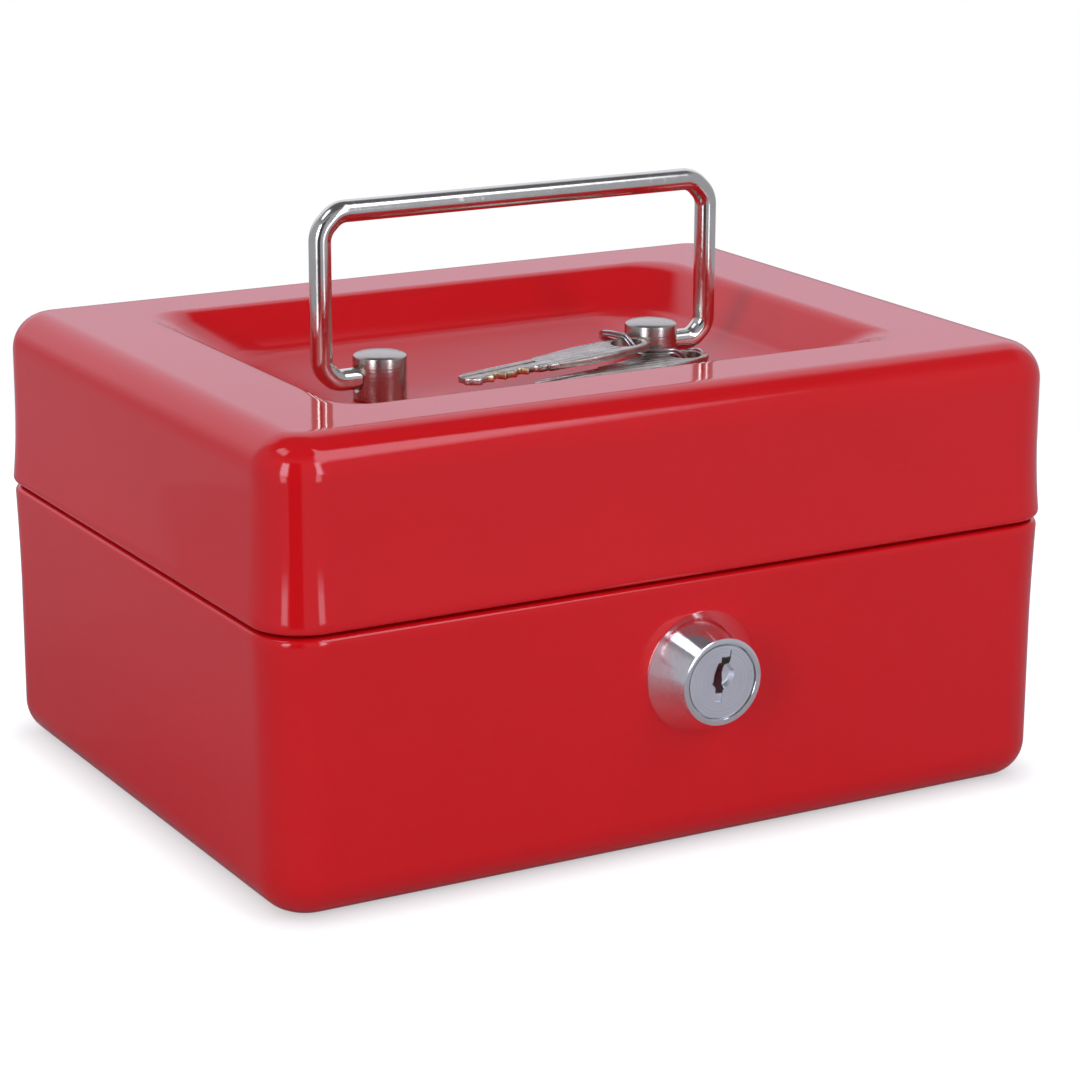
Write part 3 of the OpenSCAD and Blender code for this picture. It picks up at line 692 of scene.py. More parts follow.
@dataclass(frozen=True)
class Lathed(Finish):
    """Plated metal that keeps the fine marks of turning about one axis."""

    centre: Point = (0.0, 0.0, 0.0)
    axis: Axis = Axis.UP
    rough: Flat = (0.16, 0.26)
    pitch: float = 0.22 * MM
    groove: float = 0.04 * MM
    groove_dark: float = 0.7
    climb: float = 0.7
    depth: float = 0.25

    def build(self, effects: Effects) -> Material:
        """Builds the material.

        Args:
            effects: the shared effects.

        Returns:
            The material.
        """
        material, b, shader = self.start(Metallic=1.0)
        b.put(shader, "Roughness", self.marks(b, effects, 150.0))
        source = b.add("TexCoord")
        shift = b.add("VectorMath", operation="SUBTRACT")
        b.put(shift, 0, source.outputs["Object"])
        b.put(shift, 1, self.centre)
        x, y, z = b.axes(shift.outputs[0])
        along, side = (z, y) if self.axis is Axis.UP else (y, z)
        reach = b.maths("SQRT", b.maths("ADD", b.maths("MULTIPLY", x, x),
                                        b.maths("MULTIPLY", side, side)))
        path = b.maths("ADD", reach, b.maths("MULTIPLY", along, self.climb))
        rings = b.add("TexNoise", noise_dimensions="1D")
        b.put(rings, "W", path)
        b.put(rings, "Scale", 1.0 / self.pitch)
        rings.inputs["Detail"].default_value = 3.0
        bump = b.add("Bump", Strength=self.depth, Distance=self.groove, Height=rings.outputs["Fac"])
        b.put(shader, "Normal", bump.outputs[0])
        self.two_tone(b, shader, self.shade(self.groove_dark),
                      b.spread(rings.outputs["Fac"], 0.4, 0.8, 0.0, 0.6))
        return material


@dataclass(frozen=True)
class KeyPlate(Finish):
    """Nickel-plated key stamping, with fine ribs across its bow."""

    rib_pitch: float = 0.7 * MM
    rib_depth: float = 0.12 * MM
    rib_wave: float = 20.0 / math.pi
    stain_size: float = 500.0
    stain_dark: float = 0.6
    rough: Flat = (0.22, 0.36)

    def build(self, effects: Effects) -> Material:
        """Builds the material.

        Args:
            effects: the shared effects.

        Returns:
            The material.
        """
        material, b, shader = self.start(Metallic=1.0)
        b.put(shader, "Roughness", self.marks(b, effects, 220.0, (1800.0, 0.2)))
        ribs = b.add("TexWave", wave_type="BANDS", bands_direction="Y")
        b.put(ribs, "Vector", b.place((0.12, 1.0, 0.0)))
        b.put(ribs, "Scale", 1.0 / (self.rib_pitch * self.rib_wave))
        ribs.inputs["Distortion"].default_value = 0.3
        bump = b.add("Bump", Strength=0.6, Distance=self.rib_depth, Height=ribs.outputs["Fac"])
        b.put(shader, "Normal", bump.outputs[0])
        stain = b.noise(b.place(), self.stain_size, 4.0, 0.7)
        self.two_tone(b, shader, self.shade(self.stain_dark),
                      b.spread(stain, 0.42, 0.7, 0.0, 0.8))
        return material


@dataclass(frozen=True)
class Moulded(Finish):
    """Injection-moulded plastic with a fine spark-eroded grain."""

    rough: Flat = (0.36, 0.50)
    worn: float = 2.2
    grain_size: float = 2600.0
    grain_depth: float = 0.06 * MM

    def build(self, effects: Effects) -> Material:
        """Builds the material.

        Args:
            effects: the shared effects.

        Returns:
            The material.
        """
        material, b, shader = self.start()
        b.put(shader, "Roughness", self.marks(b, effects, 60.0))
        lines = self.effect(b, effects.scratches, Size=500.0, Amount=0.6)
        self.two_tone(b, shader, self.shade(self.worn), lines.outputs[0])
        grain = b.noise(b.place(), self.grain_size, 2.0, 0.6)
        bump = b.add("Bump", Strength=0.35, Distance=self.grain_depth, Height=grain)
        b.put(shader, "Normal", bump.outputs[0])
        return material


# ---------------------------------------------------------------- pieces


def settle(obj: Object, body: Body, slot: str, *nodes: str) -> Object:
    """Gives a piece its body, hides the nodes that it stands for and logs both.

    Args:
        obj: the piece, in place.
        body: the body that it rides on.
        slot: the name of a material slot; not used.
        *nodes: names of the nodes that it replaces.

    Returns:
        The piece.
    """
    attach(obj, body.value)
    if nodes:
        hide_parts(*nodes)
    LOG.info("%s rides on %s and stands for %s", obj.name, body.value, nodes or "no node")
    return obj


def dress(obj: Object, *materials: Material) -> Object:
    """Gives an object its materials in order.

    Args:
        obj: the object.
        *materials: the materials.

    Returns:
        The object.
    """
    obj.data.materials.clear()
    for material in materials:
        obj.data.materials.append(material)
    return obj


@dataclass
class PressedShell:
    """Sheet pressed round a rounded rectangle, ring by ring.

    A ring has its corners' axes at (axis_x, axis_y) and lies r outside them. Columns of points
    run through all rings, so that a window is cut by leaving faces out.
    """

    axis_x: float = 67.05 * MM
    axis_y: float = 49.7 * MM
    corner_r: float = 8.6 * MM
    sheet: float = 0.8 * MM
    corner_steps: int = 14
    hinge_x: float = 42 * MM
    window_half: float = 13.35 * MM
    sharp_deg: float = 38.0
    near: tuple[float, ...] = (0.0, 0.12, 0.25)
    between: tuple[float, ...] = (0.55, 0.7)
    far: tuple[float, ...] = (0.93, 0.985)
    shares: list[float] = field(default_factory=list)

    def __post_init__(self) -> None:
        """Works out where the columns stand along a side, two of them at each window's edges."""
        inner = (self.hinge_x - self.window_half) / self.axis_x
        outer = (self.hinge_x + self.window_half) / self.axis_x
        half = [*self.near, inner, *self.between, outer, *self.far]
        self.shares = [-s for s in reversed(half[1:])] + half

    def ring(self, ax: float, ay: float, r: float, z: float | Callable[[float, float], float],
             scale: float = 1.0) -> list[Point]:
        """One ring of points, counter-clockwise from the right side's back end.

        Args:
            ax: half distance between the corner axes along X.
            ay: the same along Y.
            r: distance of the ring outside the axes.
            z: its height, or a function of x and y that gives it.
            scale: factor by which the ring is drawn in towards the middle.

        Returns:
            The points.
        """
        points: list[Flat] = []
        for i, (sx, sy) in enumerate(((1, 1), (-1, 1), (-1, -1), (1, -1))):
            points += arc_points((sx * ax, sy * ay), r, 90 * i, 90 * i + 90, self.corner_steps)
            for share in self.shares:
                points.append((sx * (ax + r), sx * share * ay) if i % 2
                              else (-sy * share * ax, sy * (ay + r)))
        out = []
        for x, y in points:
            x, y = x * scale, y * scale
            out.append((x, y, z(x, y) if callable(z) else z))
        return out

    def back_columns(self) -> list[int]:
        """Numbers of the faces that lie in the two hinge windows, counted round a ring.

        Returns:
            The face numbers.
        """
        start = self.corner_steps + 1
        out = []
        for k in range(len(self.shares) - 1):
            middle = abs(self.shares[k] + self.shares[k + 1]) / 2 * self.axis_x
            if abs(middle - self.hinge_x) < self.window_half:
                out.append(start + k)
        return out

    def skin(self, name: str, rings: list[list[Point]], open_bands: Iterable[int]) -> Object:
        """Joins rings into a sheet of even thickness, closed in the middle by a flat face.

        Args:
            name: the object's name.
            rings: the rings from the middle of the sheet to its free edge.
            open_bands: bands between rings in which the hinge windows are left out.

        Returns:
            The sheet.
        """
        bm = bmesh.new()
        rows = [[bm.verts.new(p) for p in ring] for ring in rings]
        count = len(rows[0])
        windows = set(self.back_columns())
        opened = set(open_bands)
        for band, (a, b) in enumerate(zip(rows, rows[1:])):
            for k in range(count):
                if band in opened and k in windows:
                    continue
                m = (k + 1) % count
                bm.faces.new((a[k], b[k], b[m], a[m]))
        bm.faces.new(rows[0])
        bm.normal_update()
        loose = [v for v in bm.verts if not v.link_faces]
        bmesh.ops.delete(bm, geom=loose, context="VERTS")
        bm.faces.ensure_lookup_table()
        upward = rings[0][0][2] > rings[-1][0][2]
        if (bm.faces[-1].normal.z > 0) != upward:
            bmesh.ops.reverse_faces(bm, faces=bm.faces)
        obj = mesh_object(name, bm)
        step = obj.modifiers.new("sheet", "SOLIDIFY")
        step.thickness = self.sheet
        step.offset = -1.0
        step.use_even_offset = True
        step.use_quality_normals = True
        bpy.context.view_layer.update()
        return bake_modifiers(obj, self.sharp_deg)


@dataclass
class BasePressing(PressedShell):
    """The open box: bottom, walls, shoulder and neck."""

    fillet: float = 6.5 * MM
    flare: float = 0.45 * MM
    flare_from: float = 29 * MM
    shoulder_z: float = 47.8 * MM
    shoulder_r: float = 1.15 * MM
    neck_r: float = 6.6 * MM
    neck_top: float = 53 * MM
    window_low: float = 45.3 * MM
    flare_power: float = 1.55
    wall_heights: tuple[float, ...] = (20.0, 29.0, 32.0, 35.0, 38.0, 41.0, 43.5)

    def out_at(self, z: float) -> float:
        """Distance of the wall outside the corner axes at a height."""
        t = (z - self.flare_from) / (self.shoulder_z - self.shoulder_r - self.flare_from)
        return self.corner_r + self.flare * max(0.0, t) ** self.flare_power

    def build(self, paint: Material) -> Object:
        """Builds and dresses the pressing.

        Args:
            paint: the enamel.

        Returns:
            The piece.
        """
        c = self.corner_r - self.fillet
        line: list[Flat] = [(c - 0.4 * MM, 0.0)]
        line += arc_points((c, self.fillet), self.fillet, -90, 0, 12)
        line += [(self.corner_r, self.fillet + 0.4 * MM)]
        line += [(self.out_at(z * MM), z * MM) for z in self.wall_heights]
        line += [(self.out_at(self.window_low), self.window_low)]
        first = len(line) - 1
        centre = (self.corner_r + self.flare - self.shoulder_r, self.shoulder_z - self.shoulder_r)
        line += arc_points(centre, self.shoulder_r, 0, 90, 7)
        line += [(self.neck_r + 0.1 * MM, self.shoulder_z)]
        last = len(line) - 1
        line += [(self.neck_r, self.shoulder_z + 0.1 * MM), (self.neck_r, self.neck_top - 0.3 * MM),
                 (self.neck_r, self.neck_top)]
        rings = [self.ring(self.axis_x, self.axis_y, r, z) for r, z in line]
        obj = self.skin("base_pressing", rings, range(first, last))
        return settle(dress(obj, paint), Body.BASE, "paint", "base_shell")


@dataclass
class LidPressing(PressedShell):
    """The lid: dished recess, flat rim, walls and curled lip."""

    top: float = 79.6 * MM
    fillet: float = 6.6 * MM
    flare: float = 0.75 * MM
    flare_from: float = 64 * MM
    lip_z: float = 48.3 * MM
    lip_r: float = 1.15 * MM
    window_high: float = 50.8 * MM
    flare_power: float = 2.1
    wall_heights: tuple[float, ...] = (68.0, 64.0, 61.5, 59.0, 56.5, 54.5, 52.5)
    recess_x: float = 56 * MM
    recess_y: float = 41 * MM
    rim_r: float = 6.5 * MM
    foot_corner_r: float = 15 * MM
    edge_r: float = 4.2 * MM
    foot_r: float = 3.2 * MM
    wall_deg: float = 48.0
    dish_deg: float = 12.0
    floor_z: float = 69.5 * MM
    dish_rise: float = 2.5 * MM
    dish_from_x: float = 33.5 * MM
    dish_power_x: float = 2.0
    dish_power_y: float = 3.0
    dish_blend: float = 1.6
    dish_most: float = 1.04
    wall_fade: float = 1.6
    floor_rings: int = 16

    def out_at(self, z: float) -> float:
        """Distance of the wall outside the corner axes at a height."""
        t = (self.flare_from - z) / (self.flare_from - self.lip_z - self.lip_r)
        return self.corner_r + self.flare * max(0.0, t) ** self.flare_power

    def wall_line(self) -> list[Flat]:
        """Profile of the recess's wall, from the dish's edge up to the flat rim.

        Returns:
            (inset, height) points, where the inset is measured from the rim's inner edge.
        """
        w, d = math.radians(self.wall_deg), math.radians(self.dish_deg)
        edge_in = self.edge_r * math.sin(w)
        edge_low = self.top - self.edge_r * (1 - math.cos(w))
        foot_top = (self.floor_z + self.dish_rise
                    + self.foot_r * (math.cos(d) - math.cos(w)))
        wall_in = edge_in + (edge_low - foot_top) / math.tan(w)
        line = []
        for k in range(9):
            a = d + (w - d) * k / 8
            line.append((wall_in + self.foot_r * (math.sin(w) - math.sin(a)),
                         foot_top - self.foot_r * (math.cos(a) - math.cos(w))))
        for k in range(11):
            a = w * (1 - k / 10)
            line.append((self.edge_r * math.sin(a), self.top - self.edge_r * (1 - math.cos(a))))
        return line

    def recess_ring(self, inset: float, z: float | Callable[[float, float], float],
                    scale: float = 1.0) -> list[Point]:
        """One ring of the recess.

        Args:
            inset: distance inside the rim's inner edge.
            z: its height, or a function of x and y that gives it.
            scale: factor by which the ring is drawn in towards the middle.

        Returns:
            The points.
        """
        share = inset / self.wall_line()[0][0]
        r = self.rim_r + (self.foot_corner_r - self.rim_r) * share
        return self.ring(self.recess_x - inset - r, self.recess_y - inset - r, r, z, scale)

    def dish(self, x: float, y: float) -> float:
        """Height of the dished floor.

        Args:
            x: place along the front.
            y: place front to back.

        Returns:
            The height.
        """
        inset = self.wall_line()[0][0]
        a = abs(y / (self.recess_y - inset)) ** self.dish_power_y
        b = (max(0.0, abs(x) - self.dish_from_x)
             / (self.recess_x - inset - self.dish_from_x)) ** self.dish_power_x
        share = (a ** self.dish_blend + b ** self.dish_blend) ** (1 / self.dish_blend)
        return self.floor_z + self.dish_rise * min(share, self.dish_most)

    def recess_rings(self) -> list[list[Point]]:
        """Rings from the middle of the recess's floor to the flat rim.

        Returns:
            The rings.
        """
        line = self.wall_line()
        inset, edge_z = line[0]
        count = self.floor_rings
        rings = [self.recess_ring(inset, self.dish, s / count) for s in range(1, count)]
        steps = len(line) - 1
        for k, (run, z) in enumerate(line):
            fade = max(0.0, 1 - self.wall_fade * k / steps)

            def height(x: float, y: float, z: float = z, fade: float = fade) -> float:
                """Height on the wall, which takes up the floor's own rise and fall."""
                return z + (self.dish(x, y) - edge_z) * fade

            rings.append(self.recess_ring(run, height))
        rings.append(self.ring(self.recess_x - self.rim_r, self.recess_y - self.rim_r,
                               self.rim_r + 0.3 * MM, self.top))
        return rings

    def build(self, paint: Material) -> Object:
        """Builds and dresses the pressing.

        Args:
            paint: the enamel.

        Returns:
            The piece.
        """
        rings = self.recess_rings()
        c = self.corner_r - self.fillet
        line: list[Flat] = [(c - 0.3 * MM, self.top)]
        line += arc_points((c, self.top - self.fillet), self.fillet, 90, 0, 14)
        line += [(self.corner_r, self.top - self.fillet - 0.4 * MM)]
        line += [(self.out_at(z * MM), z * MM) for z in self.wall_heights]
        line += [(self.out_at(self.window_high), self.window_high)]
        first = len(rings) + len(line) - 1
        centre = (self.corner_r + self.flare - self.lip_r, self.lip_z + self.lip_r)
        line += arc_points(centre, self.lip_r, 0, -90, 7)
        rings += [self.ring(self.axis_x, self.axis_y, r, z) for r, z in line]
        obj = self.skin("lid_pressing", rings, range(first, len(rings) - 1))
        return settle(dress(obj, paint), Body.LID, "paint", "lid_shell")


@dataclass
class WireHandle:
    """The bent wire handle and its two turned posts."""

    wire_r: float = 1.95 * MM
    post_x: float = 27.6 * MM
    post_r: float = 4.75 * MM
    floor_z: float = 69.5 * MM
    post_top: float = 78 * MM
    pivot_z: float = 73.6 * MM
    leg_x: float = 38.9 * MM
    bar_z: float = 103.1 * MM
    arm_end_x: float = 27.15 * MM
    bore_end_x: float = 26.35 * MM
    bore_r: float = 2.03 * MM
    bend_share: float = 0.86
    bend_steps: int = 12
    low_bend: float = 4 * MM
    high_bend: float = 5 * MM
    dome: tuple[Flat, ...] = ((1.2, 0.03), (2.4, 0.12), (3.5, 0.28))
    brow: tuple[Flat, ...] = ((0.45, 0.46), (0.1, 0.7), (0.0, 0.95))
    spigot_r: float = 2.5 * MM
    spigot_z: float = 67.7 * MM
    peened_r: Flat = (3.4 * MM, 3.0 * MM)
    peened_z: float = 66.9 * MM
    bore_len: float = 8 * MM
    sink: float = 0.5 * MM

    def bend(self, corner: Vector, before: Vector, after: Vector, reach: float) -> list[Vector]:
        """Points round a bend that was pressed in two strokes, with a short flat between them.

        Args:
            corner: where the two straight runs would meet.
            before: direction of the first run.
            after: direction of the second run.
            reach: distance from the corner at which the bend starts and ends.

        Returns:
            The points along the bend.
        """
        eighth = math.radians(45)
        radius = reach * self.bend_share
        flat = reach * (1 - self.bend_share) / math.cos(eighth)

        def stroke(start: Vector, ahead: Vector, aside: Vector) -> list[Vector]:
            """Bends an eighth of a turn.

            Args:
                start: where the stroke starts.
                ahead: its direction there.
                aside: the direction it turns to.

            Returns:
                The points along the stroke.
            """
            turns = [eighth * i / self.bend_steps for i in range(self.bend_steps + 1)]
            return [start + ahead * radius * math.sin(a) + aside * radius * (1 - math.cos(a))
                    for a in turns]

        middle = (before + after).normalized()
        side = (middle - before * middle.dot(before)).normalized()
        inward = (after - middle * after.dot(middle)).normalized()
        points = stroke(corner - before * reach, before, side)
        points += stroke(points[-1] + middle * flat, middle, inward)
        return points

    def build_wire(self, plating: Material) -> Object:
        """Builds the wire from one post round to the other.

        Args:
            plating: its finish.

        Returns:
            The piece.
        """
        right, up = Vector((1, 0, 0)), Vector((0, 0, 1))
        start = Vector((self.arm_end_x, 0, self.pivot_z))
        low = Vector((self.leg_x, 0, self.pivot_z))
        high = Vector((self.leg_x, 0, self.bar_z))
        half = [start] + self.bend(low, right, up, self.low_bend)
        half += [low.lerp(high, t) for t in (0.3, 0.5, 0.7)]
        half += self.bend(high, up, -right, self.high_bend)
        half += [Vector((x * MM, 0, self.bar_z)) for x in (20, 8)]
        other = [Vector((-p.x, p.y, p.z)) for p in reversed(half)]
        obj = tube("handle_wire", half + other, self.wire_r, 40)
        return settle(dress(obj, plating), Body.HANDLE, "nickel", "handle_bail")

    def build_post(self, side: int, effects: Effects) -> Object:
        """Builds one post with its countersunk hole, spigot and peened end.

        Args:
            side: -1 for the left post, 1 for the right one.
            effects: the shared effects.

        Returns:
            The piece.
        """
        name = "left" if side < 0 else "right"
        r, foot, top = self.post_r, self.floor_z, self.post_top
        outline = [(0.0, top)]
        outline += [(out * MM, top - drop * MM) for out, drop in self.dome]
        outline += [(r - inset * MM, top - drop * MM) for inset, drop in self.brow]
        outline += [(r, foot + 0.3 * MM), (r - 0.25 * MM, foot), (self.spigot_r, foot),
                    (self.spigot_r, self.spigot_z), (self.peened_r[0], self.spigot_z),
                    (self.peened_r[1], self.peened_z), (0.0, self.peened_z)]
        obj = turned(f"turned_post_{name}", outline, Matrix.Translation((side * self.post_x, 0, 0)),
                     112)
        aim = Matrix.Rotation(math.radians(side * 90), 4, "Y")
        deep = 2 * self.sink
        tools = []
        for kind, start, length, end_r in (
                ("bore_tool", self.bore_end_x, self.bore_len, self.bore_r),
                ("sink_tool", self.post_x + self.post_r - self.sink, deep, self.bore_r + deep)):
            line = [(0.0, 0.0), (self.bore_r, 0.0), (end_r, length), (0.0, length)]
            place = Matrix.Translation((side * start, 0, self.pivot_z)) @ aim
            tools.append(turned(kind, line, place, 48))
        obj = cut(obj, tools)
        finish = Lathed(f"turned_nickel_{name}", (0.50, 0.46, 0.40), rough=(0.2, 0.3),
                        centre=(side * self.post_x, 0.0, 0.0)).build(effects)
        return settle(dress(obj, finish), Body.LID, "nickel", f"handle_post_{name}")


@dataclass
class CamLock:
    """Collar, barrel and plug of the lock; its own Z points out of the front wall."""

    x: float = 2.4 * MM
    wall_y: float = -58.3 * MM
    z: float = 31.4 * MM
    collar_r: float = 10.65 * MM
    face_r: float = 7.5 * MM
    out: float = 6.85 * MM
    bore_r: float = 6.55 * MM
    plug_r: float = 6.5 * MM
    lean: float = 10.0
    barrel_r: float = 8 * MM
    barrel_back: float = -6.8 * MM
    foot: float = 0.25 * MM
    edge: float = 0.05 * MM
    plug_in: float = 0.2 * MM
    plug_back: float = -7.2 * MM
    gap: Flat = (0.22 * MM, 0.18 * MM)
    gap_deep: Flat = (0.6 * MM, 0.62 * MM)
    keyway: tuple[Flat, ...] = (
        (-0.85, 4.25), (-0.85, 3.45), (-0.6, 3.3), (-1.1, 1.0), (-1.15, -0.9), (-0.95, -2.1),
        (0.35, -2.1), (0.6, -0.9), (0.55, 0.2), (0.3, 1.2), (0.35, 2.3), (0.85, 3.6), (0.95, 4.25))
    slot_deep: float = 9.2 * MM
    steps: tuple[tuple[float, float, float, float], ...] = (
        (0.15 * MM, 0.95 * MM, 4.0 * MM, 5.55 * MM), (-0.75 * MM, 0.75 * MM, -3.5 * MM, -2.0 * MM))
    step_deep: float = 0.5 * MM
    entry: tuple[Flat, ...] = ((0.0, -1.0), (1.9, -0.9), (2.35, 0.05), (2.35, 1.0), (0.0, 1.0))
    entry_z: float = 1.1 * MM
    drive: float = 2.75 * MM
    drive_back: float = -8.4 * MM
    drive_deep: float = 1.2 * MM

    def frame(self) -> Matrix:
        """The lock's own frame."""
        return (Matrix.Translation((self.x, self.wall_y, self.z))
                @ Matrix.Rotation(math.radians(90), 4, "X"))

    def build_housing(self, chrome: Material) -> Object:
        """Builds the collar with its barrel.

        Args:
            chrome: its finish.

        Returns:
            The piece.
        """
        back, out, edge = self.barrel_back, self.out, self.edge
        outline = [(self.bore_r, back), (self.barrel_r, back), (self.barrel_r, 0.0),
                   (self.collar_r, 0.0), (self.collar_r, self.foot),
                   (self.collar_r - 0.12 * MM, 2 * self.foot),
                   (self.face_r + 0.07 * MM, out - 4 * edge), (self.face_r, out - edge),
                   (self.face_r - 2 * edge, out), (self.bore_r + edge, out),
                   (self.bore_r, out - edge)]
        obj = turned("lock_collar", outline, self.frame(), 160)
        return settle(dress(obj, chrome), Body.BASE, "nickel", "lock_housing")

    def build_plug(self, face: Material) -> Object:
        """Builds the plug with its keyway.

        Args:
            face: its finish.

        Returns:
            The piece.
        """
        front, back, r = self.out - self.plug_in, self.plug_back, self.plug_r
        outline = [(0.0, front), (r - self.gap[0], front),
                   (r - self.gap[1], front - self.gap_deep[0]), (r, front - self.gap_deep[1]),
                   (r, back + 0.4 * MM), (r - 1 * MM, back + 0.4 * MM), (r - 1 * MM, back),
                   (0.0, back)]
        obj = turned("lock_plug_body", outline, self.frame(), 128)
        tilt = self.frame() @ Matrix.Rotation(math.radians(-self.lean), 4, "Z")
        slot_line = [(x * MM, y * MM) for x, y in self.keyway]
        slot = prism("slot_tool", slot_line, self.slot_deep + 1 * MM,
                     tilt @ Matrix.Translation((0, 0, front - self.slot_deep)))
        steps = []
        for x0, x1, y0, y1 in self.steps:
            steps.append(prism("step_tool", rectangle(x0, x1, y0, y1), 2 * MM,
                               tilt @ Matrix.Translation((0, 0, front - self.step_deep))))
        entry = turned("entry_tool", [(x * MM, z * MM) for x, z in self.entry], self.frame()
                       @ Matrix.Translation((0, self.entry_z, front)), 64)
        obj = cut(obj, [entry, slot, *steps])
        square = rectangle(-self.drive, self.drive, -self.drive, self.drive)
        drive = prism("drive_square", square, self.drive_deep,
                      self.frame() @ Matrix.Translation((0, 0, self.drive_back)), 0.1 * MM)
        settle(dress(drive, face), Body.PLUG, "nickel")
        return settle(dress(obj, face), Body.PLUG, "nickel", "lock_plug")


@dataclass(frozen=True)
class Hang:
    """Where one key hangs on the ring: angles in degrees, lengths in metres."""

    name: str
    node: str
    angle: float
    out: float
    bottom: float
    climb: float
    turn: float
    slope: float


@dataclass
class KeySet:
    """Two keys on a split ring that lies round the right post."""

    ring_x: float = 28.6 * MM
    ring_y: float = 1.2 * MM
    ring_r: float = 9.4 * MM
    wire_r: float = 0.3 * MM
    low: float = 71.0 * MM
    lift: float = 2.6 * MM
    fall: Flat = (166.0, 290.0)
    gap: float = 10.0
    thick: float = 1.3 * MM
    length: float = 37.8
    bow: float = 22.0
    hole_in: float = 3.8
    hole_r: float = 2.8 * MM
    blade: float = 2.7
    cuts: tuple[float, ...] = (0.9, 1.7, 0.6, 1.4, 1.0)
    bare: Flat = (3.6 * MM, 12.2 * MM)
    bare_edge: float = -0.6 * MM
    groove_w: float = 0.9 * MM
    groove_end: float = 0.6 * MM
    groove_deep: float = 0.25 * MM
    bow_half: tuple[Flat, ...] = (
        (0.0, 2.0), (1.6, 3.3), (8.5, 4.4), (13.0, 4.4), (20.0, 3.4), (22.0, 3.4))
    hangs: tuple[Hang, ...] = (
        Hang("key_upper", "key_one", -145.0, 2 * MM, 74.25 * MM, 10.0, 2.0, 4.2),
        Hang("key_lower", "key_two", -85.0, 0.9 * MM, 71.65 * MM, 14.0, 10.0, 0.8),
    )

    def height(self, a: float) -> float:
        """Height of the middle between the ring's two turns.

        Args:
            a: the angle round the ring in degrees.

        Returns:
            The height.
        """
        z = self.low - 2 * self.lift * eased((-a - self.fall[0]) / (self.fall[1] - self.fall[0]))
        for hang in self.hangs:
            z += self.lift * eased((hang.angle - a + hang.climb) / (2 * hang.climb))
        return z

    def ring_point(self, n: float) -> Vector:
        """Middle of the wire at one place along the ring.

        Args:
            n: degrees along its two turns.

        Returns:
            The point.
        """
        a = -(n % 360)
        rise = 2 * self.wire_r * (eased((n - 360 + self.gap) / (2 * self.gap)) - 0.5)
        run = self.ring_r * math.sin(math.radians(1))
        lean = math.atan((self.height(a - 1) - self.height(a + 1)) / (2 * run))
        turn = math.radians(a + rise * math.sin(lean) / run)
        return Vector((self.ring_x + self.ring_r * math.cos(turn),
                       self.ring_y + self.ring_r * math.sin(turn),
                       self.height(a) + rise * math.cos(lean)))

    def build_ring(self, wire: Material) -> Object:
        """Builds the split ring.

        Args:
            wire: its finish.

        Returns:
            The piece.
        """
        count = 300
        span = 720 - 2 * self.gap
        path = [self.ring_point(self.gap + span * i / count) for i in range(count + 1)]
        obj = tube("split_ring", path, self.wire_r * 0.97, 12)
        return settle(dress(obj, wire), Body.KEYS, "steel", "key_ring")

    def outline(self) -> list[Flat]:
        """Outline of a key with its hole at the origin and its blade towards -X.

        Returns:
            The points, counter-clockwise, in metres.
        """
        end, blade = self.hole_in, self.blade
        shoulder, tip = end - self.bow, end - self.length
        back = [(end - x, y) for x, y in self.bow_half] + [(shoulder, blade)]
        nose = [(tip + 1.4, blade), (tip, 1.9), (tip, -0.8), (tip + 2, -blade)]
        step = (shoulder - tip - 4) / 5
        cuts = []
        for i, deep in enumerate(self.cuts):
            x = tip + 2.4 + i * step
            cuts += [(x, -blade), (x + step * 0.3, deep - blade), (x + step * 0.7, deep - blade)]
        front = [(shoulder - 1.6, -blade), (shoulder, -blade)]
        front += [(end - x, -y) for x, y in reversed(self.bow_half)]
        return [(x * MM, y * MM) for x, y in back + nose + cuts + front]

    def build_key(self, hang: Hang, plate: Material, bare: Material) -> Object:
        """Builds one key, grooved and bevelled, with bare metal in its cuts.

        Args:
            hang: where it hangs.
            plate: its finish.
            bare: the finish of the cut edges.

        Returns:
            The piece.
        """
        r, at = self.ring_r + hang.out, math.radians(hang.angle)
        place = (Matrix.Translation((self.ring_x + r * math.cos(at),
                                     self.ring_y + r * math.sin(at), hang.bottom))
                 @ Matrix.Rotation(math.radians(hang.turn), 4, "Z")
                 @ Matrix.Rotation(math.radians(-hang.slope), 4, "Y"))
        obj = prism(hang.name, self.outline(), self.thick, Matrix.Identity(4), 0.3 * MM)
        tools = [turned("hole_tool", rectangle(0.0, self.hole_r, -1 * MM, 3 * MM),
                        Matrix.Identity(4), 40)]
        shoulder = (self.hole_in - self.bow) * MM
        tip = (self.hole_in - self.length) * MM
        line = rectangle(tip - MM, shoulder - self.groove_end, 0.0, self.groove_w)
        for z in (self.thick - self.groove_deep, self.groove_deep - 1 * MM):
            tools.append(prism("groove_tool", line, 1 * MM, Matrix.Translation((0, 0, z))))
        obj = cut(obj, tools)
        dress(obj, plate, bare)
        for face in obj.data.polygons:
            c, n = face.center, face.normal
            if abs(n.z) < 0.9 and c.y < self.bare_edge and self.bare[0] < c.x - tip < self.bare[1]:
                face.material_index = 1
        obj.data.transform(place)
        obj.data.update()
        return settle(obj, Body.KEYS, "key_metal", hang.node)


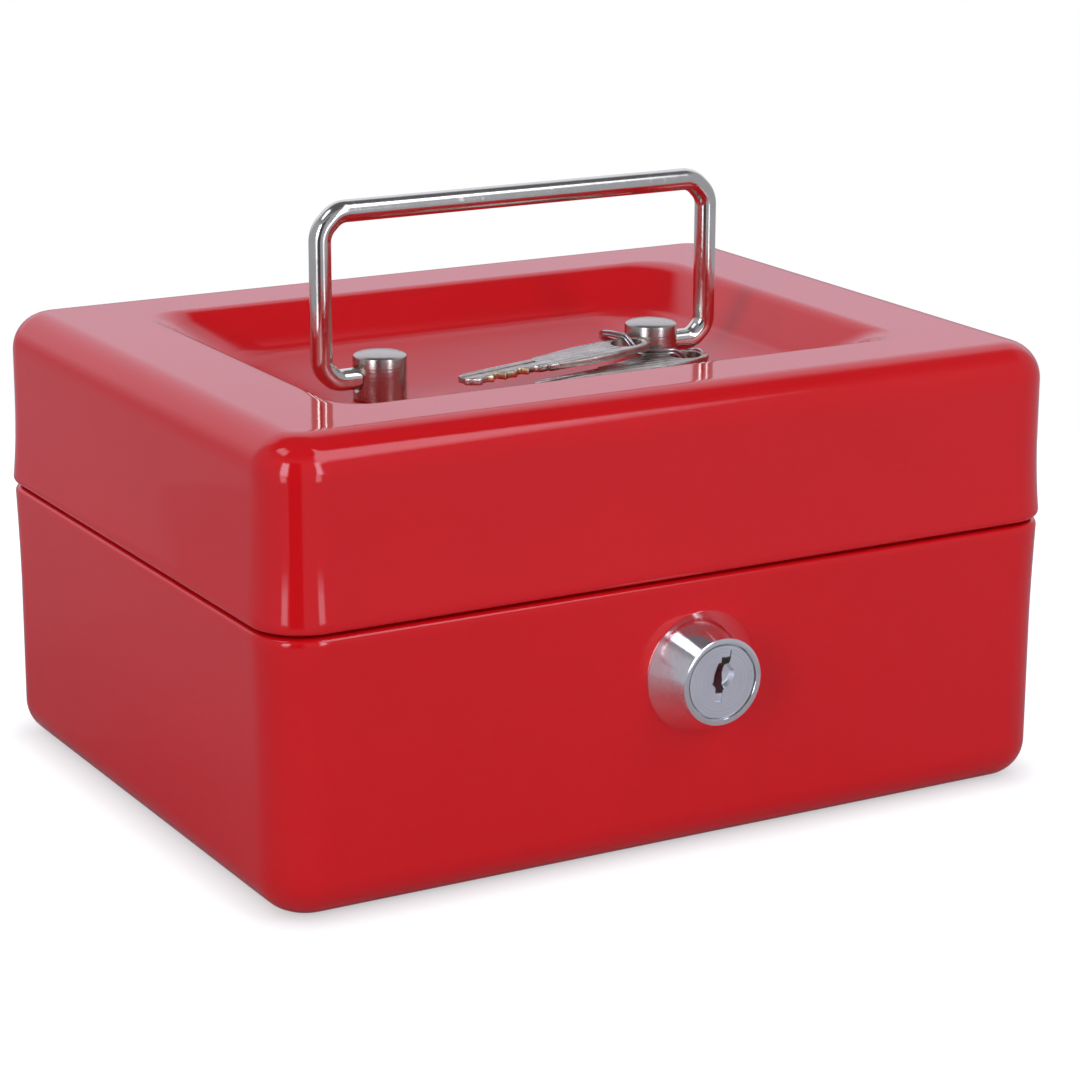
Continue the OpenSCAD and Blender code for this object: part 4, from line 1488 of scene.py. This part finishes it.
def softened(frame: dict, node: str, name: str, width: float) -> Object:
    """Copies a node's solid and rounds its edges a little.

    Args:
        node: the node's name.
        name: the new piece's name.
        width: width of the rounding.

    Returns:
        The new object, not yet riding on anything.
    """
    bm = bmesh.new()
    bm.from_mesh(frame["nodes"][node].data)
    bmesh.ops.remove_doubles(bm, verts=bm.verts, dist=1e-6)
    bmesh.ops.dissolve_limit(bm, angle_limit=math.radians(0.5), verts=bm.verts, edges=bm.edges)
    bm.normal_update()
    steep = [e for e in bm.edges if e.is_manifold and e.calc_face_angle(0.0) > math.radians(40)]
    bmesh.ops.bevel(bm, geom=steep, offset=width, segments=2, profile=0.5, affect="EDGES",
                    clamp_overlap=True)
    return mesh_object(name, bm, 50.0)


# ---------------------------------------------------------------- stage


@dataclass(frozen=True)
class Field:
    """A soft-edged field of the surroundings, in degrees round from the front and up."""

    centre: float
    half: float
    low: float
    high: float
    level: float
    soft: float = 3.0
    slant: float = 0.0


@dataclass
class Studio:
    """Floor, surroundings and camera."""

    azimuth: float = -0.519339442
    elevation: float = 0.276397987
    roll: float = 0.004722841
    distance: float = 0.607047391
    target: Point = (0.004642076, 0.0, 0.039391501)
    focal_px: float = 3343.29124
    frame_px: float = 1080.0
    sensor: float = 36.0
    floor_r: float = 0.27
    floor_bounce: float = 0.54
    floor_shown: float = 0.32
    # The floor's painted contact shadow: the box's outline, where the painted shade starts and
    # ends, and the glow left at its darkest.
    contact: tuple[float, float, float] = (75.65 * MM, 58.3 * MM, 8.6 * MM)
    contact_from: float = -5 * MM
    contact_to: float = 6.2 * MM
    contact_level: float = 0.50
    base_level: float = 0.42
    top_level: float = 0.13
    top_from: float = 38.0
    top_to: float = 56.0
    tint: Point = (0.95, 0.97, 1.13)
    fields: tuple[Field, ...] = (
        Field(160.0, 46.0, 7.0, 50.0, 0.96, 6.0),
        Field(34.0, 17.0, 36.0, 60.0, 3.0, 3.0, 0.66),
        Field(-98.0, 22.0, 54.0, 68.0, 3.0, 3.0),
        Field(-59.0, 8.5, 3.0, 36.0, 5.5, 2.5),
        Field(16.0, 5.0, 3.0, 36.0, 5.5, 2.0),
        Field(-60.0, 6.0, -11.0, 4.0, 3.0, 1.5),
        Field(13.0, 5.0, -11.0, 4.0, 3.0, 1.5),
        Field(-36.0, 14.0, -60.0, 40.0, 0.05, 2.0),
    )

    def build_camera(self) -> None:
        """Adds the camera."""
        a, e, r = self.azimuth, self.elevation, self.roll
        back = Vector((math.sin(a) * math.cos(e), -math.cos(a) * math.cos(e), math.sin(e)))
        right = Vector((math.cos(a), math.sin(a), 0.0))
        up = back.cross(right)
        right, up = (math.cos(r) * right + math.sin(r) * up,
                     math.cos(r) * up - math.sin(r) * right)
        data = bpy.data.cameras.new("camera")
        data.sensor_fit = "HORIZONTAL"
        data.sensor_width = self.sensor
        data.lens = self.focal_px / self.frame_px * self.sensor
        data.clip_start, data.clip_end = 0.01, 50.0
        obj = bpy.data.objects.new("camera", data)
        turn = Matrix((right, up, back)).transposed().to_4x4()
        obj.matrix_world = Matrix.Translation(Vector(self.target) + back * self.distance) @ turn
        bpy.context.scene.collection.objects.link(obj)
        bpy.context.scene.camera = obj

    @staticmethod
    def seen(b: Nodes) -> NodeSocket:
        """Tells the rays that show a surface straight or through glass from the others.

        Args:
            b: the material's or the world's builder.

        Returns:
            1 for those rays, 0 for the others.
        """
        path = b.add("LightPath")
        return b.maths("ADD", path.outputs["Is Camera Ray"],
                       path.outputs["Is Transmission Ray"], clamp=True)

    def beside(self, b: Nodes) -> NodeSocket:
        """Distance of a place on the floor from the outline of the box that stands on it, which
        shapes the painted contact shadow.

        Args:
            b: the floor's builder.

        Returns:
            The distance, below 0 under the box.
        """
        half_x, half_y, r = self.contact
        squares = []
        for value, half in zip(b.axes(b.place()), (half_x, half_y)):
            past = b.maths("SUBTRACT", b.maths("ABSOLUTE", value), half - r)
            past = b.maths("MAXIMUM", past, 0.0)
            squares.append(b.maths("MULTIPLY", past, past))
        return b.maths("SUBTRACT", b.maths("SQRT", b.maths("ADD", *squares)), r)

    def build_floor(self) -> None:
        """Adds the pale floor, which keeps the real shadow faintly, has a painted contact shadow
        round the box's outline and else shows white.
        """
        bm = bmesh.new()
        bmesh.ops.create_circle(bm, cap_ends=True, segments=96, radius=self.floor_r)
        obj = mesh_object("floor", bm)
        material = bpy.data.materials.new("pale_floor")
        material.use_nodes = True
        b = Nodes(material.node_tree)
        cover = b.add("BsdfDiffuse")
        seen = self.seen(b)
        bright = b.spread(seen, 0.0, 1.0, self.floor_bounce, self.floor_shown)
        b.put(cover, "Color", bright)
        glow = b.add("Emission", Color=WHITE)
        # Painted contact shadow: the camera's white glow is dimmed near the box's outline, whatever
        # the light does.
        level = b.spread(self.beside(b), self.contact_from, self.contact_to,
                         self.contact_level, 1.0)
        b.put(glow, "Strength", b.maths("MULTIPLY", seen, level))
        add = b.add("AddShader")
        b.put(add, 0, cover.outputs[0])
        b.put(add, 1, glow.outputs[0])
        b.put(b.add("OutputMaterial"), "Surface", add.outputs[0])
        dress(obj, material)

    @staticmethod
    def field_group() -> NodeTree:
        """Lays one soft-edged field over what the surroundings have so far.

        Returns:
            The node group.
        """
        tree, b, inp, out = new_group(
            "soft_field", {"Azimuth": 0.0, "Elevation": 0.0, "Under": 0.0, "Centre": 0.0,
                           "Half": 10.0, "Low": 0.0, "High": 10.0, "Level": 1.0, "Soft": 3.0,
                           "Slant": 0.0}, {"Value": "Float"})
        get = inp.outputs
        side = b.maths("SUBTRACT", get["Azimuth"], get["Centre"])
        away = b.maths("ABSOLUTE", side)
        away = b.maths("MINIMUM", away, b.maths("SUBTRACT", 360.0, away))
        up = b.maths("SUBTRACT", get["Elevation"], b.maths("MULTIPLY", side, get["Slant"]))
        mask = None
        for a, c in ((get["Half"], away), (up, get["Low"]), (get["High"], up)):
            inside = b.maths("DIVIDE", b.maths("SUBTRACT", a, c), get["Soft"])
            inside = b.maths("ADD", b.maths("MULTIPLY", inside, 0.5), 0.5, clamp=True)
            mask = inside if mask is None else b.maths("MULTIPLY", mask, inside)
        gain = b.maths("MULTIPLY", mask, b.maths("SUBTRACT", get["Level"], get["Under"]))
        b.put(out, "Value", b.maths("ADD", get["Under"], gain))
        return tree

    def build_surroundings(self) -> None:
        """Gives the world its softboxes as fields of light, and white for the camera."""
        world = bpy.data.worlds.new("studio")
        bpy.context.scene.world = world
        world.use_nodes = True
        b = Nodes(world.node_tree)
        x, y, z = b.axes(b.add("TexCoord").outputs["Generated"])
        azimuth = b.maths("DEGREES", b.maths("ARCTAN2", x, b.maths("MULTIPLY", y, -1.0)))
        elevation = b.maths("DEGREES", b.maths("ARCSINE", z))
        level = b.spread(elevation, self.top_from, self.top_to, self.base_level, self.top_level)
        group = self.field_group()
        for field_of_light in self.fields:
            node = b.add("Group", node_tree=group)
            sockets = {"Azimuth": azimuth, "Elevation": elevation, "Under": level}
            sockets.update({k.capitalize(): v for k, v in asdict(field_of_light).items()})
            for key, value in sockets.items():
                b.put(node, key, value)
            level = node.outputs[0]
        shade = b.add("Background", Color=(*self.tint, 1.0), Strength=level)
        white = b.add("Background", Color=WHITE)
        choose = b.add("MixShader")
        b.put(choose, 0, self.seen(b))
        b.put(choose, 1, shade.outputs[0])
        b.put(choose, 2, white.outputs[0])
        b.put(b.add("OutputWorld"), "Surface", choose.outputs[0])

    def build(self) -> None:
        """Adds everything that isn't part of the object."""
        self.build_camera()
        self.build_floor()
        self.build_surroundings()
        bpy.context.scene.view_settings.view_transform = "Standard"


def main() -> None:
    """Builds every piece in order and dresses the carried-over nodes."""
    logging.basicConfig(level=logging.INFO, format="%(message)s")
    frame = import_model()
    effects = Effects()
    red = Enamel("red_enamel", (0.79, 0.0065, 0.0102)).build(effects)
    wire = Plated("nickel_wire", (0.74, 0.72, 0.64), rough=(0.10, 0.17)).build(effects)
    chrome = Plated("chrome_collar", (0.92, 0.92, 0.90), rough=(0.05, 0.12),
                    blur=0.6).build(effects)
    zinc = Plated("zinc_steel", (0.52, 0.53, 0.54), rough=(0.24, 0.40), scratch=0.3).build(effects)
    spring = Plated("spring_wire", (0.50, 0.49, 0.47), rough=(0.12, 0.22)).build(effects)
    brass = Plated("brass_cut", (0.66, 0.52, 0.30), rough=(0.24, 0.38), scratch=0.2).build(effects)
    wafer = Plated("wafer_brass", (0.13, 0.10, 0.05), rough=(0.3, 0.42), scratch=0.2)
    plate = KeyPlate("key_nickel", (0.54, 0.50, 0.44)).build(effects)
    plastic = Moulded("black_plastic", (0.016, 0.016, 0.017)).build(effects)

    BasePressing().build(red)
    LidPressing().build(red)
    handle = WireHandle()
    handle.build_wire(wire)
    for side in (-1, 1):
        handle.build_post(side, effects)
    lock = CamLock()
    lock.build_housing(chrome)
    face = Lathed("plug_face", (0.88, 0.90, 0.92), centre=(lock.x, 0.0, lock.z),
                  axis=Axis.OUT_OF_FRONT, rough=(0.26, 0.36), depth=0.1).build(effects)
    lock.build_plug(face)
    keys = KeySet()
    keys.build_ring(spring)
    for hang in keys.hangs:
        keys.build_key(hang, plate, brass)

    settle(dress(softened(frame, "coin_tray", "cash_tray", 0.35 * MM), plastic), Body.TRAY,
           "plastic", "coin_tray")
    for node, body, finish, slot in (
            ("catch_plate", Body.LID, zinc, "steel"), ("lock_cam", Body.PLUG, zinc, "steel"),
            ("lock_nut", Body.BASE, zinc, "steel"),
            ("tray_support_left", Body.BASE, red, "paint"),
            ("tray_support_right", Body.BASE, red, "paint")):
        settle(dress(softened(frame, node, node + "_pressed", 0.12 * MM), finish), body, slot, node)
    carried = {"hinge_base_leaf_left": red, "hinge_base_leaf_right": red,
               "hinge_lid_leaf_left": red, "hinge_lid_leaf_right": red,
               "hinge_pin_left": zinc, "hinge_pin_right": zinc, "post_washer_left": zinc,
               "post_washer_right": zinc, "lock_wafers": wafer.build(effects), "cam_screw": zinc}
    for node, finish in carried.items():
        dress(frame["nodes"][node], finish)
        LOG.info("%s keeps its solid", node)

    Studio().build()


if __name__ == "__main__":
    main()
